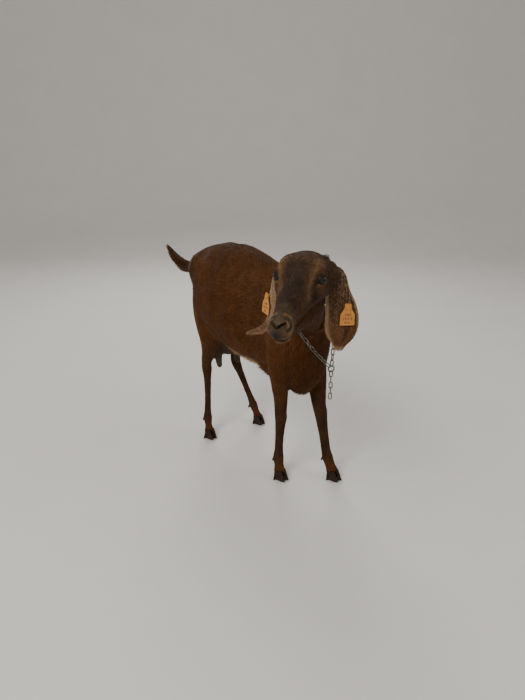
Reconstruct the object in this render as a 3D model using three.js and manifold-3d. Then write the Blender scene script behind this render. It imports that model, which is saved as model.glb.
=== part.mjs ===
// A standing long-eared dairy goat doe with a neck chain and two ear tags, at life size.
// Millimetres, +Z up. The goat faces -Y and +X is its left side. It stands on Z = 0.
import * as THREE from 'three';
import Module from 'manifold-3d';

const wasm = await Module();
wasm.setup();
const { Manifold, Mesh: SolidMesh } = wasm;

// Driving dimensions of the body
const GAP = 0.3; // clearance that touching pieces keep
const WITHERS = 746; // height of the back over the shoulders
const HIPS = 806; // height of the back over the hips
const KEEL = 330; // height of the breastbone
const CHEST_FRONT = -340; // where the trunk's own form begins, inside the breast
const RUMP_END = 378; // the rearmost point of the rump
const HOOF_HEIGHT = 34;
const DEG = Math.PI / 180;

// Driving dimensions of the head
const POLL = new THREE.Vector3(-205, -525, 820); // the head's own origin, on top of the neck
const HEAD_TURN = 59.4 * DEG; // turned to its right, from straight ahead
const HEAD_DROP = 15 * DEG; // nose down
const HEAD_LENGTH = 264;
const EYE = new THREE.Vector3(51, -88, 26);
const EYE_RADIUS = 15;
const EYE_FACETS = 14;

// Materials
const finish = (color, roughness, metalness = 0) =>
  new THREE.MeshStandardMaterial({ color, roughness, metalness });
const coat = finish(0x7a4024, 0.8);
const darkCoat = finish(0x4a3a30, 0.8);
const earCoat = finish(0x85736a, 0.8);
const skin = finish(0x5b4a44, 0.6);
const horn = finish(0x2c2622, 0.5);
const eyeball = finish(0x1c222a, 0.1);
const tagPlastic = finish(0xf0902c, 0.45);
const steel = finish(0xa8a8a8, 0.35, 1);

// Solids from geometry, and back
function solidOf(positions, triangles) {
  return new Manifold(new SolidMesh({
    numProp: 3,
    vertProperties: new Float32Array(positions),
    triVerts: new Uint32Array(triangles),
  }));
}

function solidFromGeometry(geometry) {
  const index = new Map();
  const positions = [];
  const remap = [];
  const source = geometry.attributes.position;
  for (let i = 0; i < source.count; i += 1) {
    const p = [source.getX(i), source.getY(i), source.getZ(i)];
    const key = p.map((v) => Math.round(v * 1e3)).join();
    if (!index.has(key)) {
      index.set(key, positions.length / 3);
      positions.push(...p);
    }
    remap.push(index.get(key));
  }
  const corners = geometry.index ? Array.from(geometry.index.array) : remap.map((_, i) => i);
  const triangles = [];
  for (let i = 0; i < corners.length; i += 3) {
    const [a, b, c] = [remap[corners[i]], remap[corners[i + 1]], remap[corners[i + 2]]];
    if (a !== b && b !== c && c !== a) triangles.push(a, b, c);
  }
  return solidOf(positions, triangles);
}

function geometryOf(solid) {
  const mesh = solid.getMesh();
  const geometry = new THREE.BufferGeometry();
  const stride = mesh.numProp;
  const count = mesh.vertProperties.length / stride;
  const positions = new Float32Array(count * 3);
  for (let i = 0; i < count; i += 1) {
    for (let k = 0; k < 3; k += 1) positions[i * 3 + k] = mesh.vertProperties[i * stride + k];
  }
  geometry.setAttribute('position', new THREE.BufferAttribute(positions, 3));
  geometry.setIndex(Array.from(mesh.triVerts));
  geometry.computeVertexNormals();
  return geometry;
}

const union = (solids) => solids.reduce((whole, solid) => whole.add(solid));
const largest = (solid) => solid.decompose().sort((a, b) => b.volume() - a.volume())[0];
const cleaned = (solid) => largest(solidFromGeometry(geometryOf(largest(solid))));

// Closes a stack of rings, each an array of Vector3, with a pole at both ends.
function closeRings(rings) {
  const sides = rings[0].length;
  const middle = (ring) => ring.reduce((sum, p) => sum.add(p), new THREE.Vector3()).divideScalar(sides);
  const positions = [];
  for (const ring of rings) for (const p of ring) positions.push(p.x, p.y, p.z);
  const start = positions.length / 3;
  positions.push(...middle(rings[0]).toArray(), ...middle(rings[rings.length - 1]).toArray());
  const triangles = [];
  for (let r = 0; r + 1 < rings.length; r += 1) {
    for (let s = 0; s < sides; s += 1) {
      const a = r * sides + s;
      const b = r * sides + ((s + 1) % sides);
      triangles.push(a, b, b + sides, a, b + sides, a + sides);
    }
  }
  const last = (rings.length - 1) * sides;
  for (let s = 0; s < sides; s += 1) {
    const next = (s + 1) % sides;
    triangles.push(start, next, s, start + 1, last + s, last + next);
  }
  return orient(positions, triangles);
}

// Turns the faces outwards by the sign of the enclosed volume.
function orient(positions, triangles) {
  const at = (i) => new THREE.Vector3(positions[i * 3], positions[i * 3 + 1], positions[i * 3 + 2]);
  let volume = 0;
  for (let i = 0; i < triangles.length; i += 3) {
    volume += at(triangles[i]).dot(at(triangles[i + 1]).cross(at(triangles[i + 2])));
  }
  if (volume < 0) {
    for (let i = 0; i < triangles.length; i += 3) {
      [triangles[i], triangles[i + 1]] = [triangles[i + 1], triangles[i]];
    }
  }
  return solidOf(positions, triangles);
}

// A station of a loft: where its middle lies, its half-width, and its reach to front and back.
const station = (x, y, z, side, front, back) => ({ at: new THREE.Vector3(x, y, z), side, front, back });

// Catmull-Rom value of a named reach between stations.
function reach(stations, key, t) {
  const last = stations.length - 1;
  const place = Math.min(t * last, last - 1e-9);
  const i = Math.floor(place);
  const f = place - i;
  const v = (k) => stations[Math.max(0, Math.min(last, k))][key];
  const [a, b, c, e] = [v(i - 1), v(i), v(i + 1), v(i + 2)];
  const bend = (2 * a - 5 * b + 4 * c - e) * f + (3 * b - a - 3 * c + e) * f * f;
  return 0.5 * (2 * b + (c - a) * f + bend * f);
}

// A closed body through stations. `ahead` is the direction of each section's front.
// `crest` and `keel` are the superellipse exponents of its front and back halves, and `shape`
// moves each point of the surface.
function loft(stations, ahead, {
  sides = 16, steps = 16, crest = 2, keel = 2, cap = 0.5, grow = 0, shape = (p) => p,
} = {}) {
  const path = new THREE.CatmullRomCurve3(stations.map((s) => s.at), false, 'catmullrom', 0.5);
  const rings = [];
  const ringAt = (t, scale, shift) => {
    const along = path.getTangent(t);
    const front = ahead.clone().addScaledVector(along, -ahead.dot(along)).normalize();
    const side = new THREE.Vector3().crossVectors(front, along);
    const centre = path.getPoint(t).addScaledVector(along, shift);
    const [w, a, b] = ['side', 'front', 'back'].map((key) => (reach(stations, key, t) + grow) * scale);
    const ring = [];
    for (let s = 0; s < sides; s += 1) {
      const angle = (s / sides) * 2 * Math.PI;
      const power = 2 / (Math.sin(angle) >= 0 ? crest : keel);
      const c = Math.sign(Math.cos(angle)) * Math.abs(Math.cos(angle)) ** power;
      const h = Math.sign(Math.sin(angle)) * Math.abs(Math.sin(angle)) ** power;
      const point = centre.clone().addScaledVector(side, c * w).addScaledVector(front, h * (h >= 0 ? a : b));
      ring.push(shape(point));
    }
    return ring;
  };
  const capReach = (t) => cap * Math.min(reach(stations, 'side', t), reach(stations, 'front', t)) + grow;
  const CAP_ANGLES = [65 * DEG, 35 * DEG];
  for (const angle of CAP_ANGLES) rings.push(ringAt(0, Math.cos(angle), -Math.sin(angle) * capReach(0)));
  for (let k = 0; k <= steps; k += 1) rings.push(ringAt(k / steps, 1, 0));
  for (const angle of [...CAP_ANGLES].reverse()) {
    rings.push(ringAt(1, Math.cos(angle), Math.sin(angle) * capReach(1)));
  }
  return closeRings(rings);
}

// A ball stretched to three half-sizes, turned by an optional matrix.
function ball(centre, sizes, detail = 12, turn = null) {
  const geometry = new THREE.SphereGeometry(1, detail, Math.round(detail * 0.7));
  geometry.scale(...sizes);
  if (turn) geometry.applyMatrix4(turn);
  geometry.translate(...centre.toArray());
  return solidFromGeometry(geometry);
}

// A thin plate across `normal`, which parts a body in two when it is cut out.
function slab(centre, normal, width, height, thickness = GAP) {
  const geometry = new THREE.BoxGeometry(width, height, thickness);
  const turn = new THREE.Quaternion().setFromUnitVectors(new THREE.Vector3(0, 0, 1), normal.clone().normalize());
  geometry.applyQuaternion(turn);
  geometry.translate(...centre.toArray());
  return solidFromGeometry(geometry);
}

function block(low, high) {
  const size = high.clone().sub(low);
  const geometry = new THREE.BoxGeometry(...size.toArray());
  geometry.translate(...low.clone().add(high).multiplyScalar(0.5).toArray());
  return solidFromGeometry(geometry);
}

const V = (x, y, z) => new THREE.Vector3(x, y, z);
const UP = V(0, 0, 1);
const AHEAD = V(0, -1, 0);

// The trunk, from the breast to the rump
const trunkStations = [
  station(0, CHEST_FRONT + 6, 500, 38, 42, 45),
  station(0, CHEST_FRONT + 30, 508, 66, 88, 92),
  station(0, -288, 522, 84, 150, 180),
  station(0, -205, 540, 98, WITHERS - 540, 528 - KEEL),
  station(0, -120, 553, 120, 200, 170),
  station(0, -30, 562, 140, 212, 173),
  station(0, 60, 572, 148, HIPS - 586, 174),
  station(0, 140, 588, 138, HIPS - 592, 172),
  station(0, 215, 618, 112, HIPS - 618, 146),
  station(0, 290, 650, 86, 132, 100),
  station(0, RUMP_END - 28, 672, 70, 76, 62),
  station(0, RUMP_END - 8, 676, 42, 38, 38),
];
const TRUNK_SHAPE = { sides: 24, steps: 22, crest: 1.8, keel: 2.1, cap: 0.25 };
// The breast, from the root of the neck down between the forelegs
const breastStations = [
  station(-30, -322, 650, 56, 48, 60),
  station(-6, -310, 565, 76, 46, 70),
  station(0, -292, 485, 82, 58, 70),
  station(0, -276, 412, 72, 62, 70),
  station(0, -258, KEEL + 26, 42, 44, 50),
];
const trunk = union([
  loft(trunkStations, UP, TRUNK_SHAPE),
  loft(breastStations, AHEAD, { sides: 16, steps: 8, cap: 0.5 }),
]);

// The neck, from inside the trunk to inside the head
const neckStations = [
  station(5, -210, 625, 68, 104, 120),
  station(-35, -300, 664, 58, 86, 108),
  station(-95, -385, 714, 50, 68, 84),
  station(-160, -455, 768, 45, 55, 64),
  station(-204, -512, 810, 44, 42, 50),
];
const NECK_DORSAL = V(0, 0.45, 0.9);
const neck = loft(neckStations, NECK_DORSAL, { sides: 20, steps: 9, crest: 1.9, keel: 2, cap: 0.3 });

// The legs: each from inside the trunk down to the crown of its hoof
const legStations = {
  foreleg_right: [
    station(-56, -185, 680, 20, 30, 40),
    station(-70, -222, 610, 29, 50, 58),
    station(-77, -256, 520, 34, 42, 72),
    station(-76, -240, 435, 34, 40, 40),
    station(-70, -240, 380, 29, 32, 34),
    station(-67, -242, 320, 22, 25, 27),
    station(-67, -242, 276, 20, 22, 22),
    station(-66, -242, 250, 20, 23, 20),
    station(-64.5, -238, 220, 17, 19, 18),
    station(-62.5, -232, 160, 14, 15, 16),
    station(-61, -228, 106, 15, 15, 17),
    station(-61, -227, 80, 18.5, 18, 21),
    station(-62, -231, 52, 16, 17, 18),
    station(-63, -235, 30, 19, 21, 20),
  ],
  foreleg_left: [
    station(56, -180, 680, 20, 30, 40),
    station(72, -212, 610, 31, 50, 58),
    station(81, -244, 520, 38, 40, 80),
    station(82, -242, 435, 40, 44, 48),
    station(79, -256, 378, 36, 38, 42),
    station(73, -275, 318, 28, 29, 31),
    station(70, -286, 275, 23, 25, 25),
    station(71, -294, 248, 22, 26, 22),
    station(72.5, -300, 218, 19, 21, 20),
    station(76, -312, 158, 16, 17, 17),
    station(79, -323, 106, 16, 16, 18),
    station(81, -331, 80, 18.5, 18, 21),
    station(84, -341, 52, 17, 18, 18),
    station(87, -350, 30, 19.5, 21, 20),
  ],
  hindleg_right: [
    station(-50, 215, 690, 32, 48, 66),
    station(-70, 216, 612, 39, 78, 70),
    station(-88, 182, 522, 39, 84, 68),
    station(-92, 168, 456, 35, 68, 68),
    station(-88, 176, 400, 28, 42, 52),
    station(-86, 192, 350, 21, 27, 36),
    station(-85, 206, 315, 17, 20, 32),
    station(-86, 206, 285, 18, 20, 26),
    station(-89, 200, 245, 14, 15, 19),
    station(-95, 193, 180, 12, 13, 14),
    station(-102, 186, 112, 13, 13, 16),
    station(-105, 183, 82, 17, 16, 20),
    station(-108, 175, 53, 14, 14, 15),
    station(-110, 168, 30, 18, 20, 19),
  ],
  hindleg_left: [
    station(50, 215, 690, 32, 48, 66),
    station(70, 216, 612, 39, 78, 70),
    station(88, 190, 522, 39, 86, 70),
    station(87, 187, 450, 35, 70, 68),
    station(80, 199, 390, 28, 43, 52),
    station(72, 212, 336, 21, 27, 36),
    station(66, 222, 297, 17, 20, 32),
    station(68, 220, 266, 18, 20, 26),
    station(77, 208, 228, 14, 15, 19),
    station(92, 191, 168, 12, 13, 14),
    station(107, 174, 110, 13, 13, 16),
    station(114, 166, 81, 17, 16, 20),
    station(119, 155, 53, 14, 14, 15),
    station(122, 146, 30, 18, 20, 19),
  ],
};
const LEG_SHAPE = { sides: 11, steps: 18, cap: 0.3 };

// One claw of a hoof: a wedge that is long at the sole and set back at the crown
function claw(crown, lateral) {
  const HALF_WIDTH = 9.4;
  const TOE = 33;
  const HEEL = 22;
  const shape = [
    station(crown.x + lateral * 9.4, crown.y - 5, HOOF_HEIGHT + 2, HALF_WIDTH - 1, TOE - 14, HEEL - 4),
    station(crown.x + lateral * 9.8, crown.y - 7, HOOF_HEIGHT * 0.5, HALF_WIDTH - 0.3, TOE - 6, HEEL - 1),
    station(crown.x + lateral * 10, crown.y - 8, -2, HALF_WIDTH, TOE, HEEL),
  ];
  return loft(shape, AHEAD, { sides: 10, steps: 2, cap: 0.1, crest: 1.7, keel: 2.6 });
}

// The tail, cocked up and to the right
const tailStations = [
  station(0, 330, 690, 22, 18, 26),
  station(-22, 374, 670, 24, 18, 32),
  station(-46, 414, 674, 24, 16, 31),
  station(-66, 456, 699, 20, 13, 22),
  station(-79, 488, 735, 12, 8, 12),
];
const TAIL_LOCKS = 12;
let seed = 7;
function random() {
  seed = (seed * 16807) % 2147483647;
  return seed / 2147483647;
}
// A flat, tapered lock of hair from a sunk root towards `tip`
function lock(root, tip, width, thickness) {
  const LEVELS = [1, 0.7];
  const along = tip.clone().sub(root).normalize();
  const across = new THREE.Vector3().crossVectors(along, Math.abs(along.z) < 0.8 ? UP : AHEAD).normalize();
  const off = new THREE.Vector3().crossVectors(across, along);
  const rings = LEVELS.map((size, k) => [0, 72, 144, 216, 288].map((degrees) => root.clone()
    .lerp(tip, k / LEVELS.length)
    .addScaledVector(across, size * width * Math.cos(degrees * DEG))
    .addScaledVector(off, size * thickness * Math.sin(degrees * DEG))));
  rings.push(rings[0].map((_, s) => tip.clone()
    .addScaledVector(across, 0.9 * Math.cos(s * 72 * DEG))
    .addScaledVector(off, 0.9 * Math.sin(s * 72 * DEG))));
  return closeRings(rings);
}
const tailCore = loft(tailStations, UP, { sides: 12, steps: 8, cap: 0.8 });
const tailPath = new THREE.CatmullRomCurve3(tailStations.map((s) => s.at), false, 'catmullrom', 0.5);
const tailLocks = Array.from({ length: TAIL_LOCKS }, (_, k) => {
  const t = 0.5 + (0.46 * k) / TAIL_LOCKS;
  const along = tailPath.getTangent(t);
  const side = new THREE.Vector3().crossVectors(along, UP).normalize();
  const root = tailPath.getPoint(t).addScaledVector(side, (random() - 0.5) * 14).addScaledVector(UP, -3);
  const tip = root.clone().addScaledVector(along, 34 + 10 * random())
    .addScaledVector(side, (random() - 0.5) * 22).addScaledVector(UP, -14 - 8 * random());
  return lock(root, tip, 6, 3.2);
});
const tail = union([tailCore, ...tailLocks]);

// The head, in its own frame: nose towards -Y, crown up, +X its left
const headTurn = new THREE.Matrix4().makeBasis(
  V(Math.cos(HEAD_TURN), -Math.sin(HEAD_TURN), 0),
  V(Math.sin(HEAD_TURN) * Math.cos(HEAD_DROP), Math.cos(HEAD_TURN) * Math.cos(HEAD_DROP), Math.sin(HEAD_DROP)),
  V(-Math.sin(HEAD_TURN) * Math.sin(HEAD_DROP), -Math.cos(HEAD_TURN) * Math.sin(HEAD_DROP), Math.cos(HEAD_DROP)),
).setPosition(POLL);
const headPlace = (x, y, z) => V(x, y, z).applyMatrix4(headTurn);
const headAxis = (x, y, z) => V(x, y, z).transformDirection(headTurn);

// The crown, bridge of the nose and muzzle, down to the line of the mouth
const skullStations = [
  station(0, 26, -20, 38, 38, 40),
  station(0, 0, -8, 54, 54, 56),
  station(0, -30, 0, 61, 62, 58),
  station(0, -62, 2, 63, 62, 54),
  station(0, -92, -2, 58, 58, 46),
  station(0, -122, -6, 48, 53, 40),
  station(0, -152, -10, 39, 48, 36),
  station(0, -182, -15, 31.5, 43, 31),
  station(0, -208, -20, 28, 36, 26),
  station(0, -230, -24, 27.5, 30, 22),
  station(0, -247, -26, 25, 22, 18),
  station(0, -(HEAD_LENGTH - 6), -27, 15, 11, 11),
];
// The lower jaw, from its angle to the chin
const jawStations = [
  station(0, -6, -52, 35, 34, 46),
  station(0, -48, -54, 45, 42, 56),
  station(0, -90, -52, 42, 38, 54),
  station(0, -130, -48, 34, 34, 46),
  station(0, -170, -45, 26, 27, 33),
  station(0, -205, -46, 21, 20, 19),
  station(0, -230, -48, 19, 13, 13),
  station(0, -245, -47, 14, 9, 9),
];

const EYE_OUT = V(0.7, -0.68, 0.2).normalize(); // where the left eye looks
function mirrored(vector, side) {
  return V(vector.x * side, vector.y, vector.z);
}

// The almond between the lids, as a prism along the eye's outlook
function eyeOpening(side) {
  const LENGTH = 26;
  const HEIGHT = 17;
  const outline = new THREE.Shape();
  outline.moveTo(-LENGTH / 2, -1.5);
  outline.quadraticCurveTo(0, HEIGHT * 1.02, LENGTH / 2, 0.5);
  outline.quadraticCurveTo(0, -HEIGHT * 0.86, -LENGTH / 2, -1.5);
  const geometry = new THREE.ExtrudeGeometry(outline, { depth: 60, bevelEnabled: false, curveSegments: 5 });
  const out = mirrored(EYE_OUT, side);
  const across = V(0, -1, 0.05).addScaledVector(out, -V(0, -1, 0.05).dot(out)).normalize();
  const above = new THREE.Vector3().crossVectors(out, across);
  if (above.z < 0) above.negate();
  const place = new THREE.Matrix4().makeBasis(across, above, new THREE.Vector3().crossVectors(across, above));
  const towards = new THREE.Vector3().crossVectors(across, above).dot(out);
  if (towards < 0) geometry.translate(0, 0, -60);
  geometry.applyMatrix4(place.setPosition(mirrored(EYE, side)));
  return solidFromGeometry(geometry);
}

// A nostril: a slit from beside the tip of the nose up and back, open to the front
function nostril(side) {
  const along = V(0.8, 0.45, 0.4).normalize();
  const out = V(0.2, -0.8, 0.5);
  out.addScaledVector(along, -out.dot(along)).normalize();
  const turn = new THREE.Matrix4().makeBasis(along, out, new THREE.Vector3().crossVectors(along, out));
  const hollow = ball(V(11.5, -253, -5), [13.5, 11, 3.4], 12, turn);
  return side > 0 ? hollow : hollow.mirror([1, 0, 0]);
}
// Swellings and hollows of the face: where, how far they spread along x, y and z, and their height
const SWELLS = [
  { at: [50, -88, 24], spread: [30, 40, 28], lift: 8 }, // round the eye
  { at: [46, -84, 44], spread: [20, 24, 10], lift: 5 }, // brow
  { at: [50, -92, 2], spread: [20, 26, 10], lift: 2 }, // lower rim of the orbit
  { at: [34, -128, 4], spread: [18, 20, 14], lift: -3 }, // hollow ahead of the eye
  { at: [50, -46, -36], spread: [24, 34, 24], lift: 6 }, // cheek
  { at: [22, -238, -10], spread: [10, 12, 10], lift: 4 }, // wing of the nostril
  { at: [0, -250, -2], spread: [9, 10, 10], lift: -2 }, // between the nostrils
  { at: [24, -228, -34], spread: [16, 20, 12], lift: 4 }, // upper lip
];
const FACE_CORE = -14; // height of the line that the swellings rise from
function faceShape(p) {
  let lift = 0;
  for (const { at, spread, lift: height } of SWELLS) {
    const away = [Math.abs(p.x) - at[0], p.y - at[1], p.z - at[2]].map((d, k) => (d / spread[k]) ** 2);
    lift += height * Math.exp(-(away[0] + away[1] + away[2]));
  }
  const out = V(p.x, Math.min(0, p.y + 236) * 0.6, p.z - FACE_CORE).normalize();
  return p.addScaledVector(out, lift);
}
function headFlesh(grow) {
  const lids = [-1, 1].map((side) => ball(mirrored(EYE, side), Array(3).fill(EYE_RADIUS + 2.4 + grow), EYE_FACETS));
  return union([
    loft(skullStations, UP, { sides: 20, steps: 23, crest: 1.85, keel: 2, cap: 0.6, grow, shape: faceShape }),
    loft(jawStations, UP, { sides: 12, steps: 11, cap: 0.6, grow, shape: faceShape }),
    ball(V(0, -50, 31), [62 + grow, 60 + grow, 38 + grow], 14), // dome of the forehead
    ...[-1, 1].map((side) => ball(V(side * 48, -12, 15), [21 + grow, 26 + grow, 21 + grow], 10)), // bases of the ears
    ...lids,
  ]);
}
const MOUTH_GAP = 1.6;
const faceCuts = union([
  slab(V(0, -252, -42), V(0, 0.1, 1), 90, 84, MOUTH_GAP),
  ...[-1, 1].flatMap((side) => [
    nostril(side),
    eyeOpening(side),
    ball(mirrored(EYE, side), Array(3).fill(EYE_RADIUS + GAP), EYE_FACETS),
  ]),
]);
const headCarved = headFlesh(0).subtract(faceCuts);

// A long hanging ear: a strip bent across its width to an arc, whose angle changes along its length.
// `bends` gives that angle in degrees, positive where the edges turn in towards the neck.
const EAR_WIDTHS = [17, 21, 25, 29, 35, 42, 46, 40, 12]; // half-widths, root to tip
const EAR_BENDS = [200, 160, 105, 65, 35, 15, 20, 35, 50];
const EAR_ROOT = V(43, -24, 12);
const FACE_AHEAD = V(-Math.sin(HEAD_TURN), -Math.cos(HEAD_TURN), 0);
const LEFT = headAxis(1, 0, 0);
const EAR_ROUTES = {
  // each point: outwards from the root, ahead of it, and below it
  left: [[0, 0, 0], [17, -2, -8], [31, -4, 12], [37, -3, 56], [45, -3, 101], [50, -1, 145], [44, 3, 192]],
  right: [[0, 0, 0], [21, 6, -6], [41, 5, 16], [48, 7, 66], [50, 7, 112], [74, 12, 150], [114, 19, 172]],
};
const EAR_FACINGS = { left: 40 * DEG, right: 50.6 * DEG }; // of the outer face, outwards from straight ahead
const EAR_TILTS = { left: 0, right: 0.33 }; // rise of the width towards its front edge
function earOf(name) {
  const side = name === 'left' ? 1 : -1;
  const root = headPlace(side * EAR_ROOT.x, EAR_ROOT.y, EAR_ROOT.z);
  const route = EAR_ROUTES[name].map(([out, ahead, drop]) => root.clone()
    .addScaledVector(LEFT, side * out)
    .addScaledVector(FACE_AHEAD, ahead)
    .addScaledVector(UP, -drop));
  const width = FACE_AHEAD.clone().multiplyScalar(-side * Math.sin(EAR_FACINGS[name]))
    .addScaledVector(LEFT, Math.cos(EAR_FACINGS[name]))
    .addScaledVector(UP, EAR_TILTS[name]);
  const path = new THREE.CatmullRomCurve3(route, false, 'catmullrom', 0.5);
  const frameAt = (t) => {
    const along = path.getTangent(t);
    const across = width.clone().addScaledVector(along, -width.dot(along)).normalize();
    const out = new THREE.Vector3().crossVectors(along, across);
    return { at: path.getPoint(t), along, across, out };
  };
  return { side, frameAt };
}

const listed = (list, t) => reach(list.map((v) => ({ v })), 'v', t);
// A point of the ear's middle layer, `w` from -1 to 1 across it, with the normal there
function earPoint(ear, t, w) {
  const { at, across, out } = ear.frameAt(t);
  const half = listed(EAR_WIDTHS, t);
  const bend = listed(EAR_BENDS, t) * DEG;
  const radius = (2 * half) / (Math.abs(bend) < 0.02 ? 0.02 : bend);
  const angle = (w * half) / radius;
  const normal = out.clone().multiplyScalar(Math.cos(angle)).addScaledVector(across, Math.sin(angle));
  at.addScaledVector(across, radius * Math.sin(angle)).addScaledVector(out, -radius * (1 - Math.cos(angle)));
  return { at, normal };
}

function earSolid(ear) {
  const STEPS = 14;
  const ACROSS = 8;
  const THICKNESS = 3.4;
  const EDGE = 1.4;
  const rings = [];
  for (let k = 0; k <= STEPS; k += 1) {
    const outer = [];
    const inner = [];
    for (let j = 0; j <= ACROSS; j += 1) {
      const w = (2 * j) / ACROSS - 1;
      const { at, normal } = earPoint(ear, k / STEPS, w);
      const thick = (EDGE + (THICKNESS - EDGE) * (1 - w * w)) / 2;
      outer.push(at.clone().addScaledVector(normal, thick));
      inner.push(at.clone().addScaledVector(normal, -thick));
    }
    rings.push([...outer, ...inner.reverse()]);
  }
  return closeRings(rings);
}

// An ear tag: a flat panel with sloped shoulders, a boss, and a stud through the ear to a back disc
// Where a tag sits along the ear and towards its rear edge, how far its lower end stands out, its turn on the
// stud, its turn about the vertical, and how far the panel and the back disc stand off the ear
const TAG_PLACES = {
  left: { along: 0.613, across: 0.4, swing: 0, turn: -5 * DEG, yaw: 0, standOff: 4.2, back: 3.8 },
  right: { along: 0.54, across: 0.62, swing: 7 * DEG, turn: 0, yaw: -14 * DEG, standOff: 8.5, back: 6 },
};
const STUD_RADIUS = 2.8;
const tagPlace = (ear) => TAG_PLACES[ear.side > 0 ? 'left' : 'right'];
function tagFrame(ear) {
  const place = tagPlace(ear);
  const { at, normal: out } = earPoint(ear, place.along, place.across * ear.side);
  const down = UP.clone().negate().addScaledVector(out, out.z).normalize();
  const hinge = new THREE.Vector3().crossVectors(down, out);
  down.applyAxisAngle(hinge, place.swing);
  out.applyAxisAngle(hinge, place.swing);
  down.applyAxisAngle(out, place.turn);
  out.applyAxisAngle(down, place.yaw);
  return new THREE.Matrix4().makeBasis(new THREE.Vector3().crossVectors(down, out), down, out).setPosition(at);
}
function rod(radius, from, to, sides = 12) {
  const geometry = new THREE.CylinderGeometry(radius, radius, to - from, sides);
  geometry.rotateX(Math.PI / 2);
  geometry.translate(0, 0, (from + to) / 2);
  return solidFromGeometry(geometry);
}
function tagSolid(ear) {
  const { standOff: STAND_OFF, back: BACK } = tagPlace(ear);
  const PANEL = 1.8;
  const outline = new THREE.Shape();
  outline.moveTo(-9, -9);
  outline.lineTo(9, -9);
  outline.lineTo(10, 4);
  outline.lineTo(20, 18);
  outline.lineTo(20.5, 45);
  outline.lineTo(-20.5, 45);
  outline.lineTo(-20, 18);
  outline.lineTo(-10, 4);
  outline.closePath();
  const panel = new THREE.ExtrudeGeometry(outline, { depth: PANEL, bevelEnabled: false });
  panel.translate(0, 0, STAND_OFF);
  return union([
    solidFromGeometry(panel),
    rod(6.5, STAND_OFF + PANEL - 0.4, STAND_OFF + PANEL + 3),
    rod(STUD_RADIUS, -BACK - 2.2, STAND_OFF + 1),
    rod(11, -BACK - 1.8, -BACK, 14),
  ]).transform(tagFrame(ear).elements);
}
const studHole = (ear) => rod(STUD_RADIUS + GAP, -8, 7).transform(tagFrame(ear).elements);

// The whole of the flesh in one piece
const legSolids = Object.values(legStations).map((stations) => loft(stations, AHEAD, LEG_SHAPE));
const clawSolids = Object.values(legStations).flatMap((stations) => {
  const crown = stations[stations.length - 1].at;
  return [-1, 1].map((lateral) => claw(crown, lateral));
});
const placedHead = headCarved.transform(headTurn.elements);
const belowFloor = block(V(-400, -900, -60), V(400, 700, 0));
const whole = union([trunk, neck, placedHead, tail, ...legSolids, ...clawSolids]).subtract(belowFloor);

// The part, node by node
const part = new THREE.Group();
const FLATNESS = 0.14; // faces that lie this close to one plane are made one
function add(name, solid, material) {
  const mesh = new THREE.Mesh(geometryOf(cleaned(solid.simplify(FLATNESS))), material);
  mesh.name = name;
  part.add(mesh);
}

// A closed skin of the clearance's thickness round a box, which parts what is in the box from the rest
function parting(low, high) {
  const half = V(GAP / 2, GAP / 2, GAP / 2);
  return block(low.clone().sub(half), high.clone().add(half)).subtract(block(low.clone().add(half), high.clone().sub(half)));
}
const REACH = 400; // past the animal's sides
const legCut = (side, front, rear, medial, top) => parting(
  V(side < 0 ? -REACH : medial, front, -REACH),
  V(side < 0 ? -medial : REACH, rear, top),
);
const crownCut = (stations) => {
  const crown = stations[stations.length - 1].at;
  return slab(V(crown.x, crown.y, HOOF_HEIGHT), V(0, 0.3, 0.95), 80, 90);
};
const ELBOW_CUT = 430;
const STIFLE_CUT = 478;
const JOINTS = { foreleg_right: 250, foreleg_left: 248, hindleg_right: 285, hindleg_left: 266 };
const jointCut = (name) => {
  const stations = legStations[name];
  const near = stations.reduce((a, b) => (Math.abs(b.at.z - JOINTS[name]) < Math.abs(a.at.z - JOINTS[name]) ? b : a));
  return slab(V(near.at.x, near.at.y, JOINTS[name]), UP, 70, 110);
};
const NECK_CUT = { at: V(-42, -314, 670), normal: V(-0.457, -0.8, 0.389) };
const cuts = union([
  slab(NECK_CUT.at, NECK_CUT.normal, 330, 330),
  slab(headPlace(0, 17, -42), headAxis(0, 0.966, -0.258), 240, 240),
  slab(V(-33, 392, 670), V(-0.5, 0.86, 0.1), 90, 90),
  legCut(-1, -345, -150, 36, ELBOW_CUT),
  legCut(1, -400, -150, 36, ELBOW_CUT),
  legCut(-1, 84, 460, 42, STIFLE_CUT),
  legCut(1, 84, 460, 42, STIFLE_CUT),
  ...Object.keys(legStations).map(jointCut),
  ...Object.values(legStations).map(crownCut),
]);
const pieces = whole.subtract(cuts).decompose();
const SEED = 1.5;
function pieceAt(point) {
  const seed = ball(point, [SEED, SEED, SEED], 6);
  return pieces.find((piece) => piece.intersect(seed).volume() > 0);
}

add('torso', pieceAt(V(0, 0, 560)), coat);
add('neck', pieceAt(V(-95, -385, 714)), coat);
const tailPiece = pieceAt(V(-66, 456, 699));
add('tail', tailPiece, darkCoat);
for (const [name, stations] of Object.entries(legStations)) {
  const high = stations.find((s) => s.at.z < JOINTS[name] + 75);
  const low = stations.find((s) => s.at.z < JOINTS[name] - 60);
  const crown = stations[stations.length - 1].at;
  add(`${name}_upper`, pieceAt(high.at), coat);
  add(`${name}_lower`, pieceAt(low.at), darkCoat);
  const hoof = name.replace('leg', '_hoof');
  add(hoof, pieceAt(V(crown.x + 9.8, crown.y - 8, 12)), horn);
}

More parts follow.
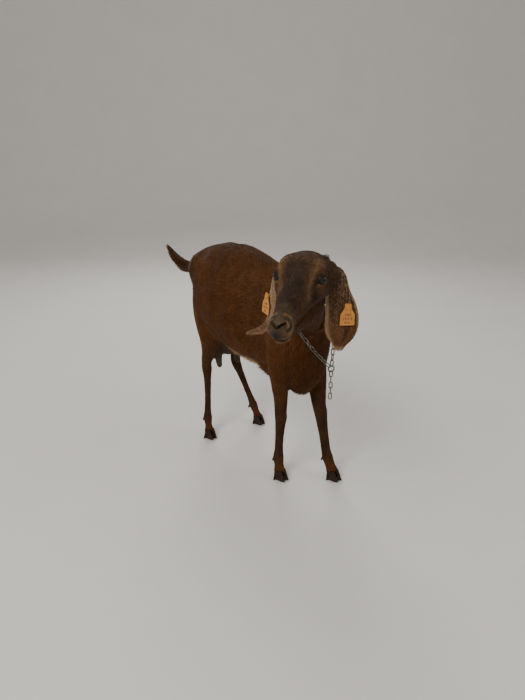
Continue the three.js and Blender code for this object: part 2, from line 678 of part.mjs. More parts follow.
// The head with the roots of its ears, and the ears from there on
const EAR_CUT = 61; // from the head's middle plane
const ears = { left: earOf('left'), right: earOf('right') };
const earSolids = Object.values(ears).map((ear) => earSolid(ear));
const rootBox = (side, grow) => block(
  V(Math.min(0, side * (EAR_CUT + grow)), -62 - grow, -30 - grow),
  V(Math.max(0, side * (EAR_CUT + grow)), 34 + grow, 50 + grow),
).transform(headTurn.elements);
const roots = [1, -1].map((side, k) => earSolids[k].intersect(rootBox(side, 0)));
add('head', union([pieceAt(headPlace(0, -60, 0)), ...roots]), coat);
const grownHead = headFlesh(GAP).transform(headTurn.elements);
Object.entries(ears).forEach(([name, ear], k) => {
  const free = earSolids[k].subtract(rootBox(ear.side, GAP)).subtract(grownHead).subtract(studHole(ear));
  add(`ear_${name}`, free, earCoat);
  add(`ear_tag_${name}`, tagSolid(ear), tagPlastic);
  add(`eye_${name}`, ball(mirrored(EYE, ear.side), Array(3).fill(EYE_RADIUS), EYE_FACETS).transform(headTurn.elements), eyeball);
});

// The udder and its teats, hung between the thighs
const udderStations = [
  station(-3, 152, 440, 54, 62, 70),
  station(-3, 158, 400, 58, 64, 74),
  station(-3, 164, 368, 50, 40, 60),
];
const teat = (side) => loft([
  station(side * 39 - 5, 174, 372, 16, 16, 16),
  station(side * 43 - 5, 176, 345, 15, 15, 15),
  station(side * 44 - 4, 176, 318, 12.5, 12.5, 12.5),
  station(side * 43 - 3, 174, 300, 10, 10, 10),
], AHEAD, { sides: 10, steps: 6, cap: 0.9 });
const grownTrunk = loft(trunkStations, UP, { ...TRUNK_SHAPE, grow: GAP });
const hindLegs = ['hindleg_right', 'hindleg_left'].map((name) => loft(legStations[name], AHEAD, { ...LEG_SHAPE, grow: GAP }));
const TEAT_CUT = 342;
const bag = union([loft(udderStations, AHEAD, { sides: 16, steps: 4, cap: 0.5 }), teat(1), teat(-1)])
  .subtract(grownTrunk).subtract(union(hindLegs))
  .subtract(slab(V(0, 160, TEAT_CUT), UP, 160, 120));
const bagPieces = bag.decompose();
add('udder', largest(bag), skin);
for (const side of [-1, 1]) {
  const seed = ball(V(side * 44 - 4, 176, 318), [SEED, SEED, SEED], 6);
  add(side < 0 ? 'teat_right' : 'teat_left', bagPieces.find((piece) => piece.intersect(seed).volume() > 0), skin);
}

// The chain: a loose collar that hangs to a ring before the breast, and its free end below the ring
const RING = V(14, -393, 458);
const RING_RADIUS = 10;
const RING_WIRE = 2.2;
const COLLAR = [
  [17, -391, 466], [20, -390, 503], [21, -389, 540], [22, -387, 575], [20, -381, 609],
  [13, -368, 641], [8, -355, 674], [3, -341, 706], [-9, -324, 735], [-31, -304, 754],
  [-60, -287, 753], [-85, -281, 729], [-99, -284, 697], [-101, -295, 663], [-94, -311, 631],
  [-82, -329, 600], [-67, -345, 570], [-51, -355, 544], [-35, -364, 520], [-16, -376, 495],
  [9, -391, 465],
].map((p) => V(...p));
const FREE_END = [RING.clone().add(V(0, 0, -8)), V(15, -393, 404), V(16, -392, 352)];
const PITCH = 18.8;
const WIRE = 1.7;
const LINK_OVER = 2.6; // how much a link's middle line is longer than the pitch
const LINK_HALF_WIDTH = 4.8;

// A wire of `sides` flats along a closed line of points in the plane of `across` and `along`
function closedWire(line, radius, sides) {
  const rings = line.map((p, k) => {
    const before = line[(k + line.length - 1) % line.length];
    const after = line[(k + 1) % line.length];
    const tangent = after.clone().sub(before).normalize();
    const outward = V(tangent.y, -tangent.x, 0);
    return Array.from({ length: sides }, (_, s) => {
      const angle = ((s + 0.5) / sides) * 2 * Math.PI;
      return p.clone().addScaledVector(outward, radius * Math.cos(angle)).add(V(0, 0, radius * Math.sin(angle)));
    });
  });
  const positions = rings.flat().flatMap((p) => p.toArray());
  const triangles = [];
  rings.forEach((_, r) => {
    const next = (r + 1) % rings.length;
    for (let s = 0; s < sides; s += 1) {
      const t = (s + 1) % sides;
      const [a, b, c, d] = [r * sides + s, r * sides + t, next * sides + t, next * sides + s];
      triangles.push(a, b, c, a, c, d);
    }
  });
  return orient(positions, triangles);
}
// A link's middle line, lengthwise along y
function linkLine(length) {
  const straight = length / 2 - LINK_HALF_WIDTH;
  return [-1, 1].flatMap((end) => [18, 90, 162].map((degrees) => {
    const angle = (degrees + (end < 0 ? 180 : 0)) * DEG;
    return V(LINK_HALF_WIDTH * Math.cos(angle), end * straight + LINK_HALF_WIDTH * Math.sin(angle), 0);
  }));
}
// Moves a link out in small steps until it is clear of the flesh
function laidOn(flesh, link, out) {
  let laid = link;
  for (let k = 0; k < 30 && laid.minGap(flesh, 1) < GAP; k += 1) {
    laid = laid.translate(out.clone().multiplyScalar(0.4).toArray());
  }
  return laid;
}
function chainAlong(points, middle, flesh) {
  const path = new THREE.CatmullRomCurve3(points, false, 'catmullrom', 0.5);
  const count = Math.round(path.getLength() / PITCH);
  const pitch = path.getLength() / count;
  const line = linkLine(pitch + LINK_OVER);
  return Array.from({ length: count }, (_, k) => {
    const at = path.getPointAt((k + 0.5) / count);
    const along = path.getTangentAt((k + 0.5) / count);
    const out = at.clone().sub(middle);
    out.addScaledVector(along, -out.dot(along)).normalize();
    const side = new THREE.Vector3().crossVectors(along, out);
    const lean = k % 2 ? 1 : -1; // neighbours stand across each other, both leaning on the neck
    const across = out.clone().addScaledVector(side, lean).normalize();
    const place = new THREE.Matrix4().makeBasis(across, along, new THREE.Vector3().crossVectors(across, along));
    return laidOn(flesh, closedWire(line, WIRE, 4).transform(place.setPosition(at).elements), out);
  });
}
const ringLine = Array.from({ length: 14 }, (_, k) => {
  const angle = (k / 14) * 2 * Math.PI;
  return V(RING_RADIUS * Math.cos(angle), RING_RADIUS * Math.sin(angle), 0);
});
const ringFacing = V(-0.3, -0.95, 0).normalize();
const ringPlace = new THREE.Matrix4().makeBasis(new THREE.Vector3().crossVectors(UP, ringFacing), UP, ringFacing);
const neckAndTorso = pieceAt(V(0, 0, 560)).add(pieceAt(V(-95, -385, 714)));
add('neck_chain', union([
  closedWire(ringLine, RING_WIRE, 5).transform(ringPlace.setPosition(RING).elements),
  ...chainAlong(COLLAR, V(-50, -340, 640), neckAndTorso),
  ...chainAlong(FREE_END, V(0, 0, 400), neckAndTorso),
]), steel);

// The origin: under the middle of the animal, on the floor
const bounds = new THREE.Box3().setFromObject(part);
const middle = bounds.getCenter(V(0, 0, 0));
part.position.set(-middle.x, -middle.y, 0);

export default part;
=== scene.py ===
"""A standing Nubian goat doe at life size: skin, coat, eyes, hooves, ear tags and neck chain.

Shapes are worked out in millimetres in the animal's own frame, where it faces -Y and +X is its left,
and are moved to the frame of the solids when a mesh is made.
"""

from __future__ import annotations

import logging
from dataclasses import dataclass, fields
from enum import Enum
from typing import Mapping, Sequence

import bmesh
import bpy
import numpy as np
from mathutils import Matrix, Vector
from mathutils.kdtree import KDTree

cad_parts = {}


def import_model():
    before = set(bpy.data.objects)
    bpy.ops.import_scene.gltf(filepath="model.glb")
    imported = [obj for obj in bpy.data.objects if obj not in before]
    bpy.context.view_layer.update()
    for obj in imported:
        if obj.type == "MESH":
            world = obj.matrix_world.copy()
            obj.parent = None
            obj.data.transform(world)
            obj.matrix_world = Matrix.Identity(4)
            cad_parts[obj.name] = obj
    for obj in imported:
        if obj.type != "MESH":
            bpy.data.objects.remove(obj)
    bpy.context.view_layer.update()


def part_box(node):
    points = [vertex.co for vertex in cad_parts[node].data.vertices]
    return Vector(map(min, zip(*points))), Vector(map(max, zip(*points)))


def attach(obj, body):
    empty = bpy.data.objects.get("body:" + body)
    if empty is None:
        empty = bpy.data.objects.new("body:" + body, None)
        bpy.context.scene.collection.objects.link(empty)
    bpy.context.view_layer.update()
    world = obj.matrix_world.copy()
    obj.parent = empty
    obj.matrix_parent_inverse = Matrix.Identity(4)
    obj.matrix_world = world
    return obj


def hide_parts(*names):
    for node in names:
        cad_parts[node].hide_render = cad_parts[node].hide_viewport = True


Array = np.ndarray
LOG = logging.getLogger("goat")
MM = 0.001
# Driving sizes and places in millimetres and radians; those of the face are in the head's own frame
WITHERS = 746
HIPS = 806
KEEL = 330
CHEST_FRONT = -340
RUMP_END = 378
HOOF_HEIGHT = 34
HEAD_LENGTH = 264
POLL = np.array([-205.0, -525.0, 820.0])
HEAD_TURN = np.radians(59.4)
HEAD_DROP = np.radians(15)
HEAD_MIDDLE = np.array([0.0, -120.0, -10.0])
FACE_CORE = -14
MUZZLE_START = -236
WHORL = np.array([8.0, -66.0, 66.0])
NOSE_PAD = ((0, -262, -26), (9.5, 14, 12))
EYE = np.array([51.0, -88.0, 26.0])
EYE_RADIUS = 15.0
SIDES = (1, -1)
UP = np.array([0.0, 0.0, 1.0])
AHEAD = np.array([0.0, -1.0, 0.0])
BAKE_MAP = "OFBake"
GAZE_MAP = "gaze"
COLOUR = "coat_colour"


def unit(v: Array) -> Array:
    """Vectors of length one along the last axis."""
    return v / np.maximum(np.linalg.norm(v, axis=-1, keepdims=True), 1e-9)


def smooth(x: Array, low: float, high: float) -> Array:
    """0 below low, 1 above high, with a soft step between; low may be the larger one."""
    t = np.clip((x - low) / (high - low), 0, 1)
    return t * t * (3 - 2 * t)


def bell(x: Array, at: float | Array, width: float) -> Array:
    """A bell of height one round a value: exp of minus the squared distance in units of the width."""
    return np.exp(-(((x - at) / width) ** 2))


def hill(p: Array, at: Sequence[float], spread: Sequence[float]) -> Array:
    """A bell of height one round a point, with a width for each axis."""
    return np.exp(-(((p - np.asarray(at, float)) / np.asarray(spread, float)) ** 2).sum(-1))


def mirrored(p: Array) -> Array:
    """Points with those of the right side moved across to the left."""
    return np.concatenate([np.abs(p[..., :1]), p[..., 1:]], -1)


def turn_angles(count: int) -> Array:
    """Even angles round a full turn, in radians."""
    return np.linspace(0, 2 * np.pi, count, endpoint=False)


def ripple(p: Array, size: float, seed: float = 0.0) -> Array:
    """A soft random-looking field from -1 to 1: a product of sines of mixed directions."""
    q = p / size + seed
    a = np.sin(q[..., 0] * 1.7 + np.sin(q[..., 1] * 1.3 + seed) * 1.6)
    b = np.sin(q[..., 1] * 1.9 + np.sin(q[..., 2] * 1.1 + 2 * seed) * 1.6)
    c = np.sin(q[..., 2] * 1.6 + np.sin(q[..., 0] * 1.4 + 3 * seed) * 1.6)
    return (a + b + c) / 3


class HeadFrame:
    """The head's own axes: nose towards -Y, crown up, +X its left."""

    c, s, cd, sd = np.cos(HEAD_TURN), np.sin(HEAD_TURN), np.cos(HEAD_DROP), np.sin(HEAD_DROP)
    axes = np.array([[c, -s, 0], [s * cd, c * cd, sd], [-s * sd, -c * sd, cd]])

    @classmethod
    def out_of(cls, p: Array) -> Array:
        """Points of the head's frame in the animal's frame."""
        return np.asarray(p, float) @ cls.axes + POLL

    @classmethod
    def into(cls, p: Array) -> Array:
        """Points of the animal's frame in the head's frame."""
        return (p - POLL) @ cls.axes.T

    @classmethod
    def turn(cls, v: Array) -> Array:
        """Directions of the head's frame in the animal's frame."""
        return np.asarray(v, float) @ cls.axes


FACE_AHEAD = np.array([-np.sin(HEAD_TURN), -np.cos(HEAD_TURN), 0.0])
LEFT = HeadFrame.turn([1, 0, 0])


class Region(Enum):
    """The parts of the animal that differ in their hair."""

    TRUNK = 0
    BREAST = 1
    NECK = 2
    SKULL = 3
    JAW = 4
    FORELEG = 5
    HINDLEG = 6
    TAIL = 7
    UDDER = 8
    TEAT = 9
    EAR = 10


def catmull(values: Array, t: Array, extend: bool) -> Array:
    """Catmull-Rom values of rows.

    Args:
        values: the rows that the curve passes.
        t: places from 0 to 1.
        extend: whether the curve runs straight out at its ends, instead of coming to rest there.
    """
    first = 2 * values[0] - values[1] if extend else values[0]
    last = 2 * values[-1] - values[-2] if extend else values[-1]
    rows = np.vstack([first, values, last])
    place = np.clip(np.asarray(t, float), 0, 1) * (len(values) - 1)
    i = np.minimum(place.astype(int), len(values) - 2)
    f = (place - i)[:, None]
    a, b, c, e = rows[i], rows[i + 1], rows[i + 2], rows[i + 3]
    return 0.5 * (2 * b + (c - a) * f + (2 * a - 5 * b + 4 * c - e) * f**2 + (3 * b - a - 3 * c + e) * f**3)


def heading(rows: Array, t: Array) -> Array:
    """Unit directions of the curve through the rows at t, from two places close by."""
    step = 1e-4
    return unit(catmull(rows, t + step, True) - catmull(rows, t - step, True))


@dataclass
class Loft:
    """A closed body through stations, each (x, y, z, half-width, reach to front, reach to back).

    A point is the path's centre plus side * |cos a|^(2/k) * width and front * |sin a|^(2/k) * reach,
    where k is `crest` on the front half and `keel` on the back half. `cell` is its place on the unwrap,
    `cap` how round its ends are, and `flow_sign` whether hair lies along or against the path. With
    `in_head` its stations are in the head's frame.
    """

    name: str
    region: Region
    stations: Sequence[Sequence[float]]
    ahead: Array
    cell: tuple[float, float, float, float] = (0, 0, 1, 1)
    crest: float = 2
    keel: float = 2
    cap: float = 0.5
    flow_sign: float = 1
    in_head: bool = False
    around: int = 64
    along: int = 90

    def rings(self) -> tuple[Array, Array, Array, Array]:
        """The surface as rings.

        Returns:
            points (rings, around, 3), the path's tangents (rings, 3), t of each ring, angles round it.
        """
        caps = np.radians([86, 70, 52, 35, 18])
        t = np.r_[np.zeros(len(caps)), np.linspace(0, 1, self.along), np.ones(len(caps))]
        scale = np.r_[np.cos(caps), np.ones(self.along), np.cos(caps[::-1])]
        reaches = catmull(np.array([s[3:] for s in self.stations], float), t, False)
        cap_reach = self.cap * np.minimum(reaches[:, 0], reaches[:, 1])
        shift = np.r_[-np.sin(caps), np.zeros(self.along), np.sin(caps[::-1])] * cap_reach
        at = np.array([s[:3] for s in self.stations], float)
        tangent = heading(at, t)
        front = unit(self.ahead - (tangent @ self.ahead)[:, None] * tangent)
        side = np.cross(front, tangent)
        angle = turn_angles(self.around)
        power = np.where(np.sin(angle) >= 0, 2 / self.crest, 2 / self.keel)
        c, h = (np.sign(v) * np.abs(v) ** power for v in (np.cos(angle), np.sin(angle)))
        reach = np.where(h >= 0, reaches[:, 1:2], reaches[:, 2:3]) * scale[:, None]
        middle = catmull(at, t, True) + tangent * shift[:, None]
        points = (
            middle[:, None]
            + side[:, None] * (c * (reaches[:, :1] * scale[:, None]))[..., None]
            + front[:, None] * (h * reach)[..., None]
        )
        if self.in_head:
            points, tangent = head_loft(points), HeadFrame.turn(tangent)
        return points, tangent, t, angle

    def mesh(self) -> tuple[Array, Array]:
        """The body's vertices and triangles."""
        return closed_rings(self.rings()[0])


def closed_rings(points: Array) -> tuple[Array, Array]:
    """Vertices and triangles of stacked rings with a pole at both ends, facing outwards.

    Args:
        points: (rings, around, 3).
    """
    rings, around = points.shape[:2]
    vertices = np.vstack([points.reshape(-1, 3), points[0].mean(0), points[-1].mean(0)])
    r, s = np.meshgrid(np.arange(rings - 1), np.arange(around), indexing="ij")
    a, b = r * around + s, r * around + (s + 1) % around
    quads = np.stack([a, b, b + around, a + around], -1).reshape(-1, 4)
    faces = np.vstack([quads[:, [0, 1, 2]], quads[:, [0, 2, 3]]])
    ring = np.arange(around)
    after = (ring + 1) % around
    start, last = rings * around, (rings - 1) * around
    faces = np.vstack([
        faces,
        np.stack([np.full(around, start), after, ring], -1),
        np.stack([np.full(around, start + 1), last + ring, last + after], -1),
    ])
    return vertices, outwards(vertices, faces)


def outwards(vertices: Array, faces: Array) -> Array:
    """The triangles turned so that the volume they enclose is positive."""
    a, b, c = (vertices[faces[:, k]] for k in range(3))
    return faces if (a * np.cross(b, c)).sum() >= 0 else faces[:, ::-1]


def joined(parts: Sequence[tuple[Array, Array]]) -> tuple[Array, Array]:
    """Several meshes as one."""
    starts = np.cumsum([0] + [len(v) for v, _ in parts])
    return np.vstack([v for v, _ in parts]), np.vstack([f + n for (_, f), n in zip(parts, starts)])


@dataclass(frozen=True)
class Swell:
    """A swelling or hollow: where, how far it spreads, and how high it stands."""

    at: tuple[float, float, float]
    spread: tuple[float, float, float]
    lift: float


FACE_SWELLS = (
    Swell((50, -88, 24), (30, 40, 28), 8),
    Swell((46, -84, 44), (20, 24, 10), 5),
    Swell((50, -92, 2), (20, 26, 10), 2),
    Swell((34, -128, 4), (18, 20, 14), -3),
    Swell((50, -46, -36), (24, 34, 24), 6),
    Swell((22, -238, -10), (10, 12, 10), 4),
    Swell((0, -250, -2), (9, 10, 10), -2),
    Swell((24, -228, -34), (16, 20, 12), 4),
)


def swelling(p: Array, swells: Sequence[Swell]) -> Array:
    """The summed heights of swells at points, alike on both sides."""
    p = mirrored(p)
    return sum(s.lift * hill(p, s.at, s.spread) for s in swells)


def face_outward(p: Array) -> Array:
    """Directions away from the head's middle line, leaning ahead at the muzzle."""
    ahead = np.minimum(0, p[..., 1] - MUZZLE_START) * 0.6
    return unit(np.stack([p[..., 0], ahead, p[..., 2] - FACE_CORE], -1))


def lip_line(y: Array) -> Array:
    """The height of the line between the lips, in the head's frame."""
    return -44.5 - 0.1 * (y + 250)


def head_loft(points: Array) -> Array:
    """Points of the head's frame, lifted by the face's swells and placed in the animal's frame."""
    return HeadFrame.out_of(points + face_outward(points) * swelling(points, FACE_SWELLS)[..., None])


LEG_ROWS = {
    "foreleg_right": (
        (-56, -185, 680, 20, 30, 40), (-70, -222, 610, 29, 50, 58), (-77, -256, 520, 34, 42, 72),
        (-76, -240, 435, 34, 40, 40), (-70, -240, 380, 29, 32, 34), (-67, -242, 320, 22, 25, 27),
        (-67, -242, 276, 20, 22, 22), (-66, -242, 250, 20, 23, 20), (-64.5, -238, 220, 17, 19, 18),
        (-62.5, -232, 160, 14, 15, 16), (-61, -228, 106, 15, 15, 17), (-61, -227, 80, 18.5, 18, 21),
        (-62, -231, 52, 16, 17, 18), (-63, -235, 30, 19, 21, 20),
    ),
    "foreleg_left": (
        (56, -180, 680, 20, 30, 40), (72, -212, 610, 31, 50, 58), (81, -244, 520, 38, 40, 80),
        (82, -242, 435, 40, 44, 48), (79, -256, 378, 36, 38, 42), (73, -275, 318, 28, 29, 31),
        (70, -286, 275, 23, 25, 25), (71, -294, 248, 22, 26, 22), (72.5, -300, 218, 19, 21, 20),
        (76, -312, 158, 16, 17, 17), (79, -323, 106, 16, 16, 18), (81, -331, 80, 18.5, 18, 21),
        (84, -341, 52, 17, 18, 18), (87, -350, 30, 19.5, 21, 20),
    ),
    "hindleg_right": (
        (-50, 215, 690, 32, 48, 66), (-70, 216, 612, 39, 78, 70), (-88, 182, 522, 39, 84, 68),
        (-92, 168, 456, 35, 68, 68), (-88, 176, 400, 28, 42, 52), (-86, 192, 350, 21, 27, 36),
        (-85, 206, 315, 17, 20, 32), (-86, 206, 285, 18, 20, 26), (-89, 200, 245, 14, 15, 19),
        (-95, 193, 180, 12, 13, 14), (-102, 186, 112, 13, 13, 16), (-105, 183, 82, 17, 16, 20),
        (-108, 175, 53, 14, 14, 15), (-110, 168, 30, 18, 20, 19),
    ),
    "hindleg_left": (
        (50, 215, 690, 32, 48, 66), (70, 216, 612, 39, 78, 70), (88, 190, 522, 39, 86, 70),
        (87, 187, 450, 35, 70, 68), (80, 199, 390, 28, 43, 52), (72, 212, 336, 21, 27, 36),
        (66, 222, 297, 17, 20, 32), (68, 220, 266, 18, 20, 26), (77, 208, 228, 14, 15, 19),
        (92, 191, 168, 12, 13, 14), (107, 174, 110, 13, 13, 16), (114, 166, 81, 17, 16, 20),
        (119, 155, 53, 14, 14, 15), (122, 146, 30, 18, 20, 19),
    ),
}
LEG_GROW = 1.2
LEG_GROW_BELOW = 450
TEAT_ROWS = (
    (39, -5, 174, 372, 16), (43, -5, 176, 345, 15.5), (44, -4, 176, 318, 13.5), (43, -3, 174, 300, 11.5),
)


def leg_loft(name: str, column: int) -> Loft:
    """A leg's loft, from inside the trunk down to the crown of its hoof, a little full where it is thin.

    Args:
        name: the leg's name in LEG_ROWS.
        column: its place in the third row of the unwrap.
    """
    rows = []
    for row in LEG_ROWS[name]:
        grow = LEG_GROW if row[2] < LEG_GROW_BELOW else 0
        rows.append((*row[:3], *(size + grow for size in row[3:])))
    region = Region.FORELEG if name.startswith("foreleg") else Region.HINDLEG
    return Loft(name, region, rows, AHEAD, (column / 4, 0.5, 0.25, 0.25), cap=0.3, around=40, along=120)


def teat_loft(name: str, side: int, u: float) -> Loft:
    """A teat's loft, down from inside the udder, through rows of (outwards, leftwards, y, z, radius)."""
    rows = [(side * out + left, y, z, r, r, r) for out, left, y, z, r in TEAT_ROWS]
    return Loft(name, Region.TEAT, rows, AHEAD, (u, 0.75, 0.125, 0.125), cap=0.9, around=28, along=40)


FLESH = (
    Loft("trunk", Region.TRUNK, (
        (0, CHEST_FRONT + 6, 500, 38, 42, 45), (0, CHEST_FRONT + 30, 508, 66, 88, 92),
        (0, -288, 522, 84, 150, 180), (0, -205, 540, 98, WITHERS - 540, 528 - KEEL),
        (0, -120, 553, 120, 200, 170), (0, -30, 562, 140, 212, 173), (0, 60, 572, 148, HIPS - 586, 174),
        (0, 140, 588, 138, HIPS - 592, 172), (0, 215, 618, 112, HIPS - 618, 146),
        (0, 290, 650, 86, 132, 100), (0, RUMP_END - 28, 672, 70, 76, 62), (0, RUMP_END - 8, 676, 42, 38, 38),
    ), UP, (0, 0, 0.5, 0.5), 1.8, 2.1, 0.25, around=110, along=150),
    Loft("breast", Region.BREAST, (
        (-30, -322, 650, 56, 48, 60), (-6, -310, 565, 76, 46, 70), (0, -292, 485, 82, 58, 70),
        (0, -276, 412, 72, 62, 70), (0, -258, KEEL + 26, 42, 44, 50),
    ), AHEAD, (0.5, 0, 0.25, 0.25)),
    Loft("neck", Region.NECK, (
        (5, -210, 625, 68, 104, 120), (-35, -300, 664, 58, 86, 108), (-95, -385, 714, 50, 68, 84),
        (-160, -455, 768, 45, 55, 64), (-204, -512, 810, 44, 42, 50),
    ), np.array([0, 0.45, 0.9]), (0.75, 0, 0.25, 0.25), 1.9, 2, 0.3, -1),
    Loft("skull", Region.SKULL, (
        (0, 26, -20, 38, 38, 40), (0, 0, -8, 54, 54, 56), (0, -30, 0, 61, 62, 58),
        (0, -62, 2, 63, 62, 54), (0, -92, -2, 58, 58, 46), (0, -122, -6, 48, 53, 40),
        (0, -152, -10, 39, 48, 36), (0, -182, -15, 31.5, 43, 31), (0, -208, -20, 28, 36, 26),
        (0, -230, -24, 27.5, 30, 22), (0, -247, -26, 25, 22, 18), (0, -(HEAD_LENGTH - 6), -27, 15, 11, 11),
    ), UP, (0.5, 0.25, 0.25, 0.25), 1.85, 2, 0.6, -1, True, 120, 150),
    Loft("jaw", Region.JAW, (
        (0, -6, -52, 35, 34, 46), (0, -48, -54, 45, 42, 56), (0, -90, -52, 42, 38, 54),
        (0, -130, -48, 34, 34, 46), (0, -170, -45, 26, 27, 33), (0, -205, -46, 21, 20, 19),
        (0, -230, -48, 19, 13, 13), (0, -245, -47, 14, 9, 9),
    ), UP, (0.75, 0.25, 0.25, 0.25), 2, 2, 0.6, -1, True, 90, 110),
    *(leg_loft(name, column) for column, name in enumerate(LEG_ROWS)),
    Loft("tail", Region.TAIL, (
        (0, 330, 690, 22, 18, 26), (-22, 374, 670, 24, 18, 32), (-46, 414, 674, 24, 16, 31),
        (-66, 456, 699, 20, 13, 22), (-79, 488, 735, 12, 8, 12),
    ), UP, (0.5, 0.75, 0.125, 0.25), cap=0.8),
    Loft("udder", Region.UDDER, (
        (-3, 152, 440, 54, 62, 70), (-3, 158, 400, 58, 64, 74), (-3, 164, 368, 50, 40, 60),
    ), AHEAD, (0.625, 0.75, 0.125, 0.25)),
    teat_loft("teat_left", 1, 0.75),
    teat_loft("teat_right", -1, 0.875),
)


@dataclass
class Ear:
    """A long hanging ear: a strip bent across its width to an arc that changes along its length.

    The middle line runs through `route`, points (outwards, ahead, down) from the root in the head's
    frame. A point across it lies on the arc of the local bend: side * r sin a - out * r (1 - cos a).
    """

    name: str
    side: int
    route: Sequence[Sequence[float]]
    facing: float
    tilt: float
    widths: tuple[float, ...] = (17, 21, 25, 29, 35, 42, 46, 40, 12)
    bends: tuple[float, ...] = (200, 160, 105, 65, 35, 15, 20, 35, 50)
    root: tuple[float, float, float] = (43, -24, 12)
    thickness: float = 3.0
    edge: float = 1.5

    def frames(self, t: Array) -> tuple[Array, Array, Array, Array]:
        """The middle line and its axes.

        Args:
            t: places along, from 0 to 1.

        Returns:
            centres, tangents, width directions and outward directions, each (t, 3).
        """
        root = HeadFrame.out_of([self.side * self.root[0], *self.root[1:]])
        rows = np.asarray(self.route, float)
        points = root + rows[:, :1] * self.side * LEFT + rows[:, 1:2] * FACE_AHEAD - rows[:, 2:3] * UP
        along = heading(points, t)
        facing = np.radians(self.facing)
        width = -self.side * np.sin(facing) * FACE_AHEAD + np.cos(facing) * LEFT + self.tilt * UP
        across = unit(width - (along @ width)[:, None] * along)
        return catmull(points, t, True), along, across, np.cross(along, across)

    def surface(self, t: Array, w: Array) -> tuple[Array, Array, Array]:
        """The middle layer.

        Args:
            t: places along, from 0 to 1.
            w: places across, from -1 to 1.

        Returns:
            points (t, w, 3), outward normals (t, w, 3) and tangents (t, 3).
        """
        at, along, across, out = self.frames(t)
        half = catmull(np.array(self.widths, float)[:, None], t, False)
        bend = np.radians(catmull(np.array(self.bends, float)[:, None], t, False))
        radius = (2 * half / np.where(np.abs(bend) < 0.02, 0.02, bend))[..., None]
        angle = w[None, :, None] * half[..., None] / radius
        sin, cos = np.sin(angle), np.cos(angle)
        normal = out[:, None] * cos + across[:, None] * sin
        points = at[:, None] + across[:, None] * radius * sin - out[:, None] * radius * (1 - cos)
        return points, normal, along

    def relief(self, t: Array, w: Array) -> Array:
        """Folds of the ear's blade, in mm along its normal: a long fold, soft waves and a wavy edge."""
        t, w = t[:, None], w[None]
        valley = -3.0 * bell(w * self.side - 0.25 + 0.6 * (t - 0.8), 0, 0.13) * smooth(t, 0.62, 0.8)
        waves = 1.4 * np.sin(9 * t + 2.2 * w) * np.abs(w) + 1.0 * np.sin(17 * t - 3 * w) * w**2
        ridge = 1.6 * bell(w, -0.1, 0.2) * smooth(t, 0.8, 0.3)
        return valley + waves + ridge

    def shell(self, steps: int = 90, cross: int = 36) -> dict[str, Array]:
        """The ear as a closed shell of two layers that meet in a rounded edge.

        Args:
            steps: rows along the ear.
            cross: vertices across one layer.

        Returns:
            vertices, faces and, for each vertex, its t, w, tangent and whether it is on the outer layer.
        """
        t = np.linspace(0, 1, steps)
        w = np.sin(np.linspace(-1, 1, cross) * np.pi / 2)
        points, normal, along = self.surface(t, w)
        points = points + normal * self.relief(t, w)[..., None]
        thick = (self.edge + (self.thickness - self.edge) * np.sqrt(np.clip(1 - w**2, 0, 1))) / 2
        outer = points + normal * thick[None, :, None]
        inner = points - normal * thick[None, :, None]
        ring = np.concatenate([outer, inner[:, ::-1]], 1)
        vertices, faces = closed_rings(ring)
        tt = np.repeat(t, 2 * cross)
        ww = np.tile(np.r_[w, w[::-1]], steps)
        return {
            "vertices": vertices,
            "faces": faces,
            "t": np.r_[tt, 0, 1],
            "w": np.r_[ww, 0, 0],
            "along": np.vstack([np.repeat(along, 2 * cross, 0), along[:1], along[-1:]]),
            "outer": np.r_[np.tile(np.r_[np.ones(cross), np.zeros(cross)], steps), 1, 1],
        }

    def root_bulb(self) -> tuple[Array, Array]:
        """A closed swelling in the roll of the root: full at the head, and under the blade at its end."""
        at, _, _, out = self.frames(np.linspace(0, 0.3, 8))
        radius = np.array([16.0, 16, 16, 15, 14, 13, 11.5, 9])
        proud = np.array([6.0, 6, 5.5, 4.5, 3, 1.2, -1, -3])
        rows = np.c_[at - out * radius[:, None], *[radius + proud] * 3]
        return Loft("bulb", Region.EAR, rows, FACE_AHEAD, cap=0.7, around=36, along=30).mesh()


EARS = (
    Ear("ear_left", 1, ((0, 0, 0), (17, -2, -8), (31, -4, 12), (37, -3, 56), (45, -3, 101), (50, -1, 145),
                        (44, 3, 192)), facing=40, tilt=0),
    Ear("ear_right", -1, ((0, 0, 0), (21, 6, -6), (41, 5, 16), (48, 7, 66), (50, 7, 112), (74, 12, 150),
                          (114, 19, 172)), facing=50.6, tilt=0.33),
)


class Placement:
    """Moves millimetres of the animal's frame to metres of the solids' frame."""

    def __init__(self) -> None:
        """The shift is where the solids have the left eye, less where the animal's frame has it."""
        low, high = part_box("eye_left")
        centre = (np.array(low) + np.array(high)) / 2
        self.shift = centre - HeadFrame.out_of(EYE) * MM
        self.shift[2] = 0

    def __call__(self, p: Array) -> Array:
        """Points in metres of the solids' frame."""
        return np.asarray(p, float) * MM + self.shift


@dataclass
class Part:
    """What every part has: the way to the solids' frame and its material."""

    placement: Placement
    finish: bpy.types.Material


